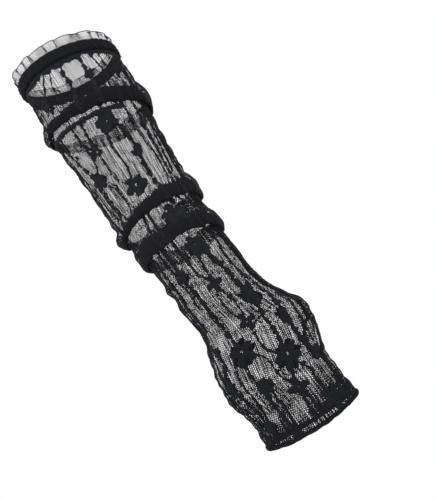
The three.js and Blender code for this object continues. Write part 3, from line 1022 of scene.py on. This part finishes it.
def figure_piece(name, top, bottom):
    """The dense figures between two distances down the cloth, domed on both of their faces."""
    cloth, lace = worn_cloth(), lace_chart()
    rows = np.nonzero((lace.v >= top) & (lace.v <= bottom))[0]
    depth = lace.depth[rows]
    v = lace.v[rows][:, None] + 0 * depth
    u = lace.u[None, :] + 0 * depth
    right = np.roll(np.arange(lace.COLUMNS), -1)
    cell = (depth[:-1] + depth[1:] + depth[:-1][:, right] + depth[1:][:, right]) / 4
    kept = (cell > 0) & ~in_thumb_opening(u, cloth.sleeve_distance(u, v), 0.3)[:-1]
    count = np.zeros(depth.shape, int)
    for down in (0, 1):
        target = count[down : down + kept.shape[0]]
        target += kept
        target[:, right] += kept
    edge = count < 4
    relief = sizes().figure_relief / MM
    lift = np.where(edge, 0.0, FIGURE_EDGE + relief * np.sqrt(np.clip(depth / FULL_RELIEF, 0, 1)))
    index = np.arange(depth.size).reshape(depth.shape)
    corners = (index[:-1], index[1:], index[1:][:, right], index[:-1][:, right])
    outer = np.stack(corners, -1)[kept]
    inner = np.where(edge, index, index + depth.size).ravel()[outer]
    # Where all four corners lie on the edge, the outer face is the inner one too
    inner = inner[(inner != outer).any(axis=1)][:, ::-1]
    over = cloth.at(u, v, lift).reshape(-1, 3)
    under = cloth.at(u, v, -INNER_LIFT * lift).reshape(-1, 3)
    height = 1 - v.ravel() / cloth.length
    chart = np.stack((u.ravel(), 0.5 * height), -1)
    chart = np.concatenate((chart, chart + (0, 0.5)))
    faces = np.concatenate((outer, inner))[:, ::-1]
    points = np.concatenate((over, under))
    return make_piece(name, points, faces, chart, figure_finish, "lace_sleeve", "lace")


def rolled(path, out, half_wide, half_thick, sides, closed):
    """Points and faces of a rounded cord along a path, or of many cords at once."""
    if closed:
        along = np.roll(path, -1, axis=-2) - np.roll(path, 1, axis=-2)
    else:
        along = np.gradient(path, axis=-2)
    side = unit(np.cross(out, along))
    out = unit(np.cross(along, side))
    angle = TURN * (np.arange(sides) + 0.5) / sides
    wide = np.asarray(half_wide)[..., None, None] * np.cos(angle)[:, None]
    thick = np.asarray(half_thick)[..., None, None] * np.sin(angle)[:, None]
    points = path[..., None, :] + side[..., None, :] * wide + out[..., None, :] * thick
    if path.ndim == 2:
        return points.reshape(-1, 3), between_rings(len(path), sides, closed)
    one = between_rings(path.shape[1], sides, closed)
    starts = path.shape[1] * sides * np.arange(path.shape[0])
    return points.reshape(-1, 3), (one[None] + starts[:, None, None]).reshape(-1, 4)


def tapered(count, ends=2):
    """Shares that close a cord at its two ends."""
    index = np.arange(count)
    from_end = np.minimum(index, count - 1 - index)
    return np.clip(np.sqrt(np.clip(from_end / ends, 0, 1)), 0.02, 1)


def chart_of(count, columns):
    """UVs for a cord of so many points, laid out as a strip."""
    index = np.arange(count)
    return np.stack(((index // columns) / (count / columns) * 0.999, (index % columns) / columns), -1)


def together(*parts):
    """Several meshes as one, with their charts beside each other."""
    points, faces, charts, start = [], [], [], 0
    for number, (part_points, part_faces, columns) in enumerate(parts):
        points.append(part_points)
        faces.append(faced_outward(part_points, part_faces) + start)
        chart = chart_of(len(part_points), columns)
        chart[:, 1] = (number + 0.96 * chart[:, 1]) / len(parts)
        charts.append(chart)
        start += len(part_points)
    return np.concatenate(points), np.concatenate(faces), np.concatenate(charts)


def band_piece():
    """The elastic band: a gathered tube of lace over elastic, with uneven ribs and edges."""
    large, small = BAND_RIBS
    u = np.arange(BAND_COLUMNS)[:, None] / BAND_COLUMNS
    across = np.linspace(-1, 1, 11)[None, :]
    wander = waved(0.004 * np.sin(3 * across + TURN * 5 * u), u, RIB_WAVES)
    ribs = np.cos(TURN * large * (u + wander)) + 0.5 * np.cos(TURN * small * (u - 0.8 * wander) + 1)
    full = np.sqrt(np.clip(1 - across**6, 0, 1))
    lumps = waved(0, u, BAND_LUMP_WAVES) * np.sin(2.2 * across + TURN * 3 * u)
    inside = WALL / 2 + CLEARANCE
    lift = inside + BAND_THICKNESS * (0.25 + 0.75 * full)
    lift = lift + (0.34 * ribs + 0.35 * lumps) * full
    top = waved(0, u, BAND_TOP_WAVES)
    foot = waved(0.5, u, BAND_FOOT_WAVES)
    s = across * BAND_HEIGHT / 2 + np.where(across > 0, foot, top) * across**2
    inner_s = np.linspace(0.98, -0.98, 5)[None, :] * BAND_HEIGHT / 2 + 0 * u
    s = np.concatenate((s, inner_s), axis=1)
    lift = np.concatenate((lift, inside + 0 * inner_s), axis=1)
    points = worn_form().place(s, u, lift).reshape(-1, 3)
    return together((points, between_rings(BAND_COLUMNS, s.shape[1]), s.shape[1]))


def frill_place(turn, share):
    """A point of the frill at a share of the way along its gathered cloth and up from the band."""
    free = np.maximum(0, share - FRILL_HELD) / (1 - FRILL_HELD)
    beat = waved(TURN * PLEATS * turn, turn, PLEAT_BEAT_WAVES)
    swing = free**0.8 * waved(1.2, turn, PLEAT_SWING_WAVES)
    u = turn + swing * np.sin(beat) / (TURN * PLEATS) + 0.002 * free * np.sin(2.3 * beat)
    depth = PLEAT_DEPTH * waved(0.75, turn, PLEAT_DEPTH_WAVES)
    lift = (FRILL_FLARE * 0.6 + depth * (0.5 + 0.5 * np.cos(beat + 0.7))) * free
    reach = waved(BAND_HEIGHT / 2 + FRILL_HEIGHT, turn, FRILL_TOP_WAVES)
    return worn_form().place(-share * reach, u, lift)


def frill_net():
    """The sheer frill as real net, pleated where the band gathers it."""
    wales, thread = sizes().frill_wales, sizes().frill_thread / MM / 2
    wale = np.arange(wales)[None, :]
    course = np.arange(FRILL_COURSES)[:, None]
    lean = leaning(course, wale)
    turn = (wale + lean) / wales
    share = FRILL_START + (1 - FRILL_START) * course / (FRILL_COURSES - 1) + 0 * wale
    middle = frill_place(turn, share)
    along = np.gradient(middle, axis=0)
    around = np.roll(middle, -1, axis=1) - np.roll(middle, 1, axis=1)
    facing = unit(np.cross(around, along))
    half = thread * unit(np.cross(facing, along))
    strand = np.stack((middle - half, middle + half), 2)
    faces = [layer.reshape(-1, 4) for layer in strand_faces(turn.shape, 2)]
    bars = net_bars(lean > 0, middle, along, 0.7 * thread, turn % 1, share)
    return net_mesh(strand, faces, turn % 1, share, bars)


def frill_edge():
    """The thin overlocked edge of the frill, with a small loop at each stitch."""
    turn = np.arange(FRILL_EDGE_POINTS) / FRILL_EDGE_POINTS
    path = frill_place(turn, 1.0 + 0 * turn)
    below = frill_place(turn, 0.9 + 0 * turn)
    out = unit(np.cross(np.roll(path, -1, axis=0) - path, path - below))
    stitches = 0.5 + 0.5 * np.cos(TURN * FRILL_STITCHES * turn)
    cord = rolled(path, out, 0.26 + 0.12 * stitches, 0.24 + 0.14 * stitches, 6, True)
    return together((*cord, 6), (*frill_curls(), 5))


def frill_curls():
    """Short curls of loose thread that stick out of the frill's edge at its two sides."""
    source = np.random.default_rng(87)
    along = np.linspace(0, 1, CURL_POINTS)[None, :]
    start = np.concatenate([source.uniform(*place) for place in CURL_PLACES])[:, None]
    turns = source.uniform(1.1, 1.7, start.shape)
    wide = source.uniform(1.0, 1.7, start.shape)
    angle = TURN * turns * along + source.uniform(0, TURN, start.shape)
    reach = source.uniform(0.5, 1.5, start.shape)
    u = start + (wide * np.cos(angle) + 1.5 * along) / worn_form().girth_at(0)
    s = -(BAND_HEIGHT / 2 + FRILL_HEIGHT) * (0.75 + 0.2 * along) + wide * np.sin(angle) + 0.8 * wide
    path, out = on_form(s, u, FRILL_FLARE + reach * along + 0 * u)
    size = CURL_THREAD * tapered(CURL_POINTS) + 0 * u
    return rolled(path, out, size, size, 5, False)


def hem_piece():
    """The rolled hem at the finger opening, wavy, with its overlock thread wound round it."""
    u = np.arange(1000) / 1000
    path, out = on_form(*hem_line(u))
    fat = waved(1.1, u, HEM_FAT_WAVES)
    roll = rolled(path, out, 0.5 * HEM_HEIGHT * fat, 0.5 * HEM_THICKNESS * fat, 14, True)
    loops = sizes().hem_stitches
    steps = 15
    turn = TURN * np.arange(steps) / (steps - 1) * 1.02
    centre = (np.arange(loops)[:, None] + 0.9 * turn[None, :] / TURN) / loops % 1
    s, _, lift = hem_line(centre)
    over = 0.5 * HEM_THICKNESS * 1.08 * np.sin(turn)
    loop = worn_form().place(s + 0.5 * HEM_HEIGHT * 1.06 * np.cos(turn), centre, lift + over)
    loop_out = unit(loop - worn_form().place(s, centre, lift))
    size = STITCH_THREAD * tapered(steps) + 0 * centre
    return together((*roll, 14), (*rolled(loop, loop_out, size, 0.8 * size, 5, False), 5))


def hem_line(u):
    """The wavy middle of the hem: distance down the sleeve, share round it and lift."""
    middle = SLEEVE_LENGTH + CLEARANCE + HEM_HEIGHT / 2
    return waved(middle, u, HEM_WAVES), u, waved(0, u, HEM_LIFT_WAVES)


def thumb_way(turn, shrink, lift):
    """A point on the line round the thumb's opening."""
    girth = worn_form().girth_at(THUMB_AT)
    s = THUMB_AT - (THUMB_LENGTH / 2 - shrink) * np.cos(TURN * turn)
    u = SEAM_SIDE + (THUMB_WIDTH / 2 - shrink) * np.sin(TURN * turn) / girth
    return worn_form().place(s, u, lift)


def thumb_binding():
    """The bound edge of the thumb's opening, its stitches and the tack at its lower end."""
    off = BINDING_RADIUS + CLEARANCE
    turn = np.arange(420) / 420
    path = thumb_way(turn, off - 0.2, 0 * turn)
    out = unit(thumb_way(turn, off - 0.2, 0 * turn + 1) - path)
    fat = BINDING_RADIUS * waved(1, turn, BINDING_WAVES)
    roll = rolled(path, out, 1.15 * fat, fat, 12, True)
    steps = 13
    angle = TURN * np.arange(steps) / (steps - 1)
    stitch = np.arange(BINDING_STITCHES)[:, None]
    centre = (stitch + 0.8 * angle[None, :] / TURN) / BINDING_STITCHES
    loop = thumb_way(
        centre,
        off - 0.2 + 1.24 * BINDING_RADIUS * np.cos(angle),
        1.1 * BINDING_RADIUS * np.sin(angle),
    )
    loop_out = unit(loop - thumb_way(centre, off - 0.2, 0 * centre))
    size = STITCH_THREAD * tapered(steps) + 0 * centre
    stitches = rolled(loop, loop_out, size, 0.8 * size, 5, False)
    return together((*roll, 12), (*stitches, 5), (*thumb_tack(), 6))


def thumb_tack():
    """The bar of close stitches across the lower end of the thumb's opening."""
    across = np.linspace(-1, 1, 13)[None, :]
    row = np.arange(TACK_STITCHES)[:, None]
    girth = worn_form().girth_at(THUMB_AT + THUMB_LENGTH / 2)
    s = THUMB_AT + THUMB_LENGTH / 2 - 1.4 + 0.42 * row + 0 * across
    u = SEAM_SIDE + (3.1 - 0.25 * np.abs(row - TACK_STITCHES // 2)) * across / girth
    path, out = on_form(s, u, 0.35 + 1.15 * (1 - across**4) + 0 * row)
    size = TACK_THREAD * tapered(13) + 0 * u
    return rolled(path, out, size, size, 6, False)


def seam_piece(start, end):
    """An overlocked seam inside the cloth: its turned edges, with a thread over each stitch."""
    girth_at = worn_form().girth_at
    rows = int((end - start) / SEAM_STEP)
    s = np.linspace(start, end, rows)
    middle_lift = -(WALL / 2 + SEAM_GAP + SEAM_THICKNESS / 2)
    sway = 0.35 * np.sin(s / 6.5) + 0.2 * np.sin(s / 2.3)
    path, out = on_form(s, SEAM_SIDE + sway / girth_at(s), middle_lift + 0 * s)
    close = tapered(rows, 3)
    fat = 1 + 0.08 * np.sin(s / 1.1)
    roll = rolled(path, out, SEAM_WIDTH / 2 * fat * close, SEAM_THICKNESS / 2 * close, 12, False)
    stitch = np.arange(int((end - start - 2 * SEAM_PITCH) / SEAM_PITCH))[:, None] + 1
    share = np.linspace(-1, 1, 9)[None, :]
    arch = (0.5 * SEAM_THICKNESS + 0.05) * np.sqrt(np.clip(1.02 - share**4, 0, 1))
    parts = [(*roll, 12)]
    for face in (1, -1):
        at = start + SEAM_PITCH * stitch + face * 0.45 * SEAM_PITCH * share
        u = SEAM_SIDE + (0.35 * np.sin(at / 6.5) + 0.54 * SEAM_WIDTH * share) / girth_at(at)
        thread, thread_out = on_form(at, u, middle_lift + face * arch)
        size = SEAM_THREAD * tapered(9) + 0 * at
        parts.append((*rolled(thread, thread_out, size, size, 5, False), 5))
    return together(*parts)


class Wire:
    """A shader socket that can be used in sums."""

    def __init__(self, finish, socket):
        self.finish = finish
        self.socket = socket

    def maths(self, operation, *values):
        inputs = dict(enumerate(values))
        return self.finish.node("ShaderNodeMath", {"operation": operation}, inputs)

    def __add__(self, other):
        return self.maths("ADD", self, other)

    def __mul__(self, other):
        return self.maths("MULTIPLY", self, other)

    def sine(self):
        return self.maths("SINE", self)

    def size(self):
        return self.maths("ABSOLUTE", self)

    __radd__ = __add__
    __rmul__ = __mul__


class Finish:
    """A material being made: its nodes, written as sums of wires."""

    def __init__(self, name):
        self.material = bpy.data.materials.new(name)
        self.material.use_nodes = True
        self.tree = self.material.node_tree
        self.tree.nodes.clear()

    def node(self, kind, settings=None, inputs=None, output=0):
        made = self.tree.nodes.new(kind)
        for name, value in (settings or {}).items():
            setattr(made, name, value)
        for name, value in (inputs or {}).items():
            if isinstance(value, Wire):
                self.tree.links.new(value.socket, made.inputs[name])
            else:
                made.inputs[name].default_value = value
        return Wire(self, made.outputs[output])

    def position(self):
        return self.node("ShaderNodeTexCoord", output="Object")

    def chart(self):
        """Across and along wires of the piece's chart."""
        spot = self.node("ShaderNodeUVMap", {"uv_map": "OFBake"})
        return (
            self.node("ShaderNodeSeparateXYZ", {}, {0: spot}, "X"),
            self.node("ShaderNodeSeparateXYZ", {}, {0: spot}, "Y"),
        )

    def noise(self, scale, detail=2.0):
        inputs = {"Vector": self.position(), "Scale": scale, "Detail": detail, "Roughness": 0.6}
        return self.node("ShaderNodeTexNoise", {}, inputs, "Fac")

    def mix(self, share, first, second):
        return self.node("ShaderNodeMix", {"data_type": "RGBA"}, {0: share, 6: first, 7: second}, 2)

    def mottled(self, share, colour, darker, paler):
        """A colour that varies between two multiples of itself."""
        return self.mix(share, lighter(colour, darker), lighter(colour, paler))

    def surface(self, colour, roughness, height, distance, sheen=0.0):
        inputs = {"Height": height, "Distance": distance, "Strength": 0.8}
        normal = self.node("ShaderNodeBump", {}, inputs)
        inputs = {"Base Color": colour, "Roughness": roughness, "Normal": normal}
        uniform = {"Specular IOR Level": 0.07, "Sheen Weight": sheen}
        shader = self.node("ShaderNodeBsdfPrincipled", {}, {**inputs, **uniform})
        output = self.tree.nodes.new("ShaderNodeOutputMaterial")
        self.tree.links.new(shader.socket, output.inputs["Surface"])
        return self.material


def shades():
    return bpy.context.scene.mitt_shades


def lighter(colour, times):
    return tuple(min(1.0, channel * times) for channel in colour[:3]) + (1.0,)


@functools.lru_cache
def net_finish():
    finish = Finish("black_net_thread")
    twist = finish.noise(5200.0)
    patch = finish.noise(60.0)
    colour = finish.mottled(patch, shades().net, 0.75, 1.5)
    return finish.surface(colour, 0.62 + 0.2 * twist, twist, 0.00008, sheen=0.01)


@functools.lru_cache
def figure_finish():
    finish = Finish("black_lace_knit")
    across, along = finish.chart()
    rib = (across * (math.pi * KNIT_RIBS)).sine().size()
    loop = (along * (math.pi * KNIT_LOOPS)).sine().size()
    fuzz = finish.noise(2600.0)
    patch = finish.noise(90.0)
    height = 0.55 * rib + 0.3 * loop + 0.4 * fuzz
    base = shades().figures
    # Random lighter and darker patches of the knit's colour
    patchy_tone = finish.mottled(patch * 0.5 + fuzz * 0.5, base, 0.4, 2.6)
    # Painted shading of the knit's relief: the colour darkens with the height of its ribs, which the bump
    # also raises
    colour = finish.mix(rib * 0.5, patchy_tone, lighter(base, 0.55))
    return finish.surface(colour, 0.7 + 0.2 * fuzz, height, 0.0003, sheen=0.02)


@functools.lru_cache
def band_finish():
    finish = Finish("black_gathered_elastic")
    _, along = finish.chart()
    knit = (along * (math.pi * BAND_ROWS)).sine().size()
    fuzz = finish.noise(2300.0)
    patch = finish.noise(140.0)
    colour = finish.mottled(patch * 0.6 + fuzz * 0.3, shades().figures, 0.6, 1.5)
    height = 0.5 * knit + 0.7 * fuzz
    return finish.surface(colour, 0.75 + 0.15 * fuzz, height, 0.00035, sheen=0.015)


@functools.lru_cache
def thread_finish():
    finish = Finish("black_overlock_thread")
    twist = finish.noise(3800.0)
    patch = finish.noise(200.0)
    colour = finish.mottled(patch * 0.5 + twist * 0.4, shades().thread, 0.65, 1.8)
    return finish.surface(colour, 0.6 + 0.25 * twist, twist, 0.00025, sheen=0.01)


@functools.lru_cache
def floor_finish():
    finish = Finish("pale_floor")
    grain = finish.noise(12.0)
    colour = finish.mottled(grain, shades().floor, 0.985, 1.0)
    return finish.surface(colour, 0.7 + 0.1 * grain, grain, 0.0001)


class MittSizes(bpy.types.PropertyGroup):
    """Sizes of the lace that can be set before the pieces are made."""

    wales: IntProperty(
        name="Net wales",
        description="Lengthwise chains of the sleeve's net on the way round it",
        default=208,
        min=60,
    )
    net_thread: FloatProperty(
        name="Net thread",
        description="Width of one chain of the sleeve's net",
        default=0.00049,
        min=0.0001,
        precision=5,
        unit="LENGTH",
    )
    figure_relief: FloatProperty(
        name="Figure relief",
        description="How far the dense figures stand off the net at their middles",
        default=0.00042,
        min=0.0,
        precision=5,
        unit="LENGTH",
    )
    frill_wales: IntProperty(
        name="Frill wales",
        description="Lengthwise chains of the frill's net on the way round it",
        default=330,
        min=60,
    )
    frill_thread: FloatProperty(
        name="Frill thread",
        description="Width of one chain of the frill's net",
        default=0.0004,
        min=0.0001,
        precision=5,
        unit="LENGTH",
    )
    hem_stitches: IntProperty(
        name="Hem stitches",
        description="Overlock stitches on the way round the finger hem",
        default=150,
        min=20,
    )
    floor_drop: FloatProperty(
        name="Floor below the arm band",
        description="How far the floor lies below the arm band's middle",
        default=0.75,
        min=0.4,
        unit="LENGTH",
    )
    key_power: FloatProperty(
        name="Main light",
        description="Power of the large soft light above the mitt",
        default=26.0,
        min=0.0,
        unit="POWER",
    )


class MittShades(bpy.types.PropertyGroup):
    """Colours of the mitt and the floor."""

    net: FloatVectorProperty(
        name="Net",
        description="Colour of the fine net",
        default=(0.006, 0.006, 0.0072),
        subtype="COLOR",
        min=0.0,
        max=1.0,
    )
    figures: FloatVectorProperty(
        name="Figures and band",
        description="Colour of the dense lace figures and of the gathered band",
        default=(0.0062, 0.0068, 0.0088),
        subtype="COLOR",
        min=0.0,
        max=1.0,
    )
    thread: FloatVectorProperty(
        name="Thread",
        description="Colour of the hem, the bindings and the seams",
        default=(0.0048, 0.0051, 0.006),
        subtype="COLOR",
        min=0.0,
        max=1.0,
    )
    floor: FloatVectorProperty(
        name="Floor",
        description="Colour of the floor",
        default=(0.86, 0.86, 0.86),
        subtype="COLOR",
        min=0.0,
        max=1.0,
    )


def net_zones():
    """Names and ends of the three stretches that the sleeve's lace is made in."""
    ends = (0, *NET_SPLITS, worn_cloth().length - COURSE)
    first, *rest = [COURSE * round(end / COURSE) for end in ends]
    return zip(("forearm", "wrist", "hand"), (first, *rest), rest)


class MITT_OT_lace(bpy.types.Operator):
    """Make the sleeve's net and the dense figures knitted into it"""

    bl_idname = "mitt.lace"
    bl_label = "Lace sleeve"

    def execute(self, context):
        for zone, top, bottom in net_zones():
            figures = figure_piece(f"lace_figures_{zone}", top, bottom + COURSE)
            net = net_piece(f"lace_net_{zone}", top, bottom)
            width = float(worn_cloth().girth_at((top + bottom) / 2)) * MM
            length = (bottom - top) * MM
            NET_COVER * width * length
        return {"FINISHED"}


class MITT_OT_band(bpy.types.Operator):
    """Make the gathered elastic band"""

    bl_idname = "mitt.band"
    bl_label = "Arm band"

    def execute(self, context):
        make_piece("gathered_band", *band_piece(), band_finish, "arm_band", "elastic")
        return {"FINISHED"}


class MITT_OT_frill(bpy.types.Operator):
    """Make the sheer frill and its overlocked edge"""

    bl_idname = "mitt.frill"
    bl_label = "Frill"

    def execute(self, context):
        net = make_piece("frill_net", *frill_net(), net_finish, "top_frill", "sheer")
        edge = make_piece("frill_edge", *frill_edge(), thread_finish, "top_frill", "thread")
        return {"FINISHED"}


class MITT_OT_hem(bpy.types.Operator):
    """Make the rolled hem at the finger opening"""

    bl_idname = "mitt.hem"
    bl_label = "Finger hem"

    def execute(self, context):
        make_piece("rolled_hem", *hem_piece(), thread_finish, "finger_hem", "thread")
        return {"FINISHED"}


class MITT_OT_thumb(bpy.types.Operator):
    """Make the bound edge of the thumb's opening"""

    bl_idname = "mitt.thumb"
    bl_label = "Thumb binding"

    def execute(self, context):
        make_piece("thumb_edge", *thumb_binding(), thread_finish, "thumb_binding", "thread")
        return {"FINISHED"}


class MITT_OT_seams(bpy.types.Operator):
    """Make the overlocked seams above and below the thumb's opening"""

    bl_idname = "mitt.seams"
    bl_label = "Seams"

    def execute(self, context):
        end = THUMB_LENGTH / 2 + CLEARANCE
        upper = seam_piece(CLEARANCE, THUMB_AT - end)
        make_piece("forearm_seam", *upper, thread_finish, "arm_seam", "thread")
        lower = seam_piece(THUMB_AT + end, SLEEVE_LENGTH)
        make_piece("hand_edge_seam", *lower, thread_finish, "hand_seam", "thread")
        return {"FINISHED"}


# The camera: where it stands, where it looks, which way is up in its picture, its lens and its sensor
EYE = Vector((0.0, -1.0401, -0.5701))
LOOK = Vector((0.02157, 0.94268, 0.33379))
IMAGE_UP = Vector((0.5402, -0.2740, 0.7957))
LENS = 101.52
SENSOR = 36.0

# The lights: name, place, what they aim at, size and how many times weaker than the main light
LIGHTS = (
    ("main_light", (-0.9, -1.3, 0.9), (0, 0, -0.17), 0.9, 1),
    ("fill_light", (1.3, -0.9, -0.1), (0, 0, -0.2), 1.2, 3),
)

# Half the floor's width
FLOOR_HALF = 4.0


def add_camera():
    data = bpy.data.cameras.new("camera")
    data.lens = LENS
    data.sensor_width = SENSOR
    data.clip_end = 20.0
    camera = bpy.data.objects.new("camera", data)
    bpy.context.collection.objects.link(camera)
    back = -LOOK.normalized()
    right = IMAGE_UP.cross(back).normalized()
    up = back.cross(right)
    turned = Matrix((right, up, back)).transposed().to_4x4()
    camera.matrix_world = Matrix.Translation(EYE) @ turned
    bpy.context.scene.camera = camera


def add_light(name, place, aim, size, power):
    data = bpy.data.lights.new(name, "AREA")
    data.shape = "DISK"
    data.size = size
    data.energy = power
    lamp = bpy.data.objects.new(name, data)
    lamp.location = place
    lamp.rotation_euler = (Vector(aim) - Vector(place)).to_track_quat("-Z", "Y").to_euler()
    bpy.context.collection.objects.link(lamp)


def add_floor(drop):
    sides = ((-1, -1), (1, -1), (1, 1), (-1, 1))
    corners = [(x * FLOOR_HALF, y * FLOOR_HALF, -drop) for x, y in sides]
    mesh = bpy.data.meshes.new("floor")
    mesh.from_pydata(corners, [], [(0, 1, 2, 3)])
    mesh.materials.append(floor_finish())
    floor = bpy.data.objects.new("floor", mesh)
    bpy.context.collection.objects.link(floor)


def light_world():
    world = bpy.data.worlds.new("studio")
    world.use_nodes = True
    background = world.node_tree.nodes["Background"]
    background.inputs["Color"].default_value = (1.0, 1.0, 1.0, 1.0)
    background.inputs["Strength"].default_value = 1.0
    bpy.context.scene.world = world


class MITT_OT_studio(bpy.types.Operator):
    """Set up the camera, the floor and the soft lights"""

    bl_idname = "mitt.studio"
    bl_label = "Studio"

    def execute(self, context):
        add_camera()
        add_floor(sizes().floor_drop)
        light_world()
        for name, place, aim, size, weaker in LIGHTS:
            add_light(name, place, aim, size, sizes().key_power / weaker)
        context.scene.view_settings.view_transform = "Standard"
        return {"FINISHED"}


PIECE_OPERATORS = (
    MITT_OT_studio,
    MITT_OT_lace,
    MITT_OT_band,
    MITT_OT_frill,
    MITT_OT_hem,
    MITT_OT_thumb,
    MITT_OT_seams,
)


class MITT_PT_pieces(bpy.types.Panel):
    """The mitt's pieces, each with its own button"""

    bl_label = "Lace mitt"
    bl_idname = "MITT_PT_pieces"
    bl_space_type = "VIEW_3D"
    bl_region_type = "UI"
    bl_category = "Mitt"

    def draw(self, context):
        column = self.layout.column()
        for group in (context.scene.mitt_sizes, context.scene.mitt_shades):
            for name in group.__annotations__:
                column.prop(group, name)
        for operator in PIECE_OPERATORS:
            column.operator(operator.bl_idname)


CLASSES = (MittSizes, MittShades, *PIECE_OPERATORS, MITT_PT_pieces)


def register():
    for kind in CLASSES:
        bpy.utils.register_class(kind)
    bpy.types.Scene.mitt_sizes = PointerProperty(type=MittSizes)
    bpy.types.Scene.mitt_shades = PointerProperty(type=MittShades)


def unregister():
    del bpy.types.Scene.mitt_shades
    del bpy.types.Scene.mitt_sizes
    for kind in reversed(CLASSES):
        bpy.utils.unregister_class(kind)


def main():
    register()
    for operator in PIECE_OPERATORS:
        group, name = operator.bl_idname.split(".")
        getattr(getattr(bpy.ops, group), name)()


if __name__ == "__main__":
    main()
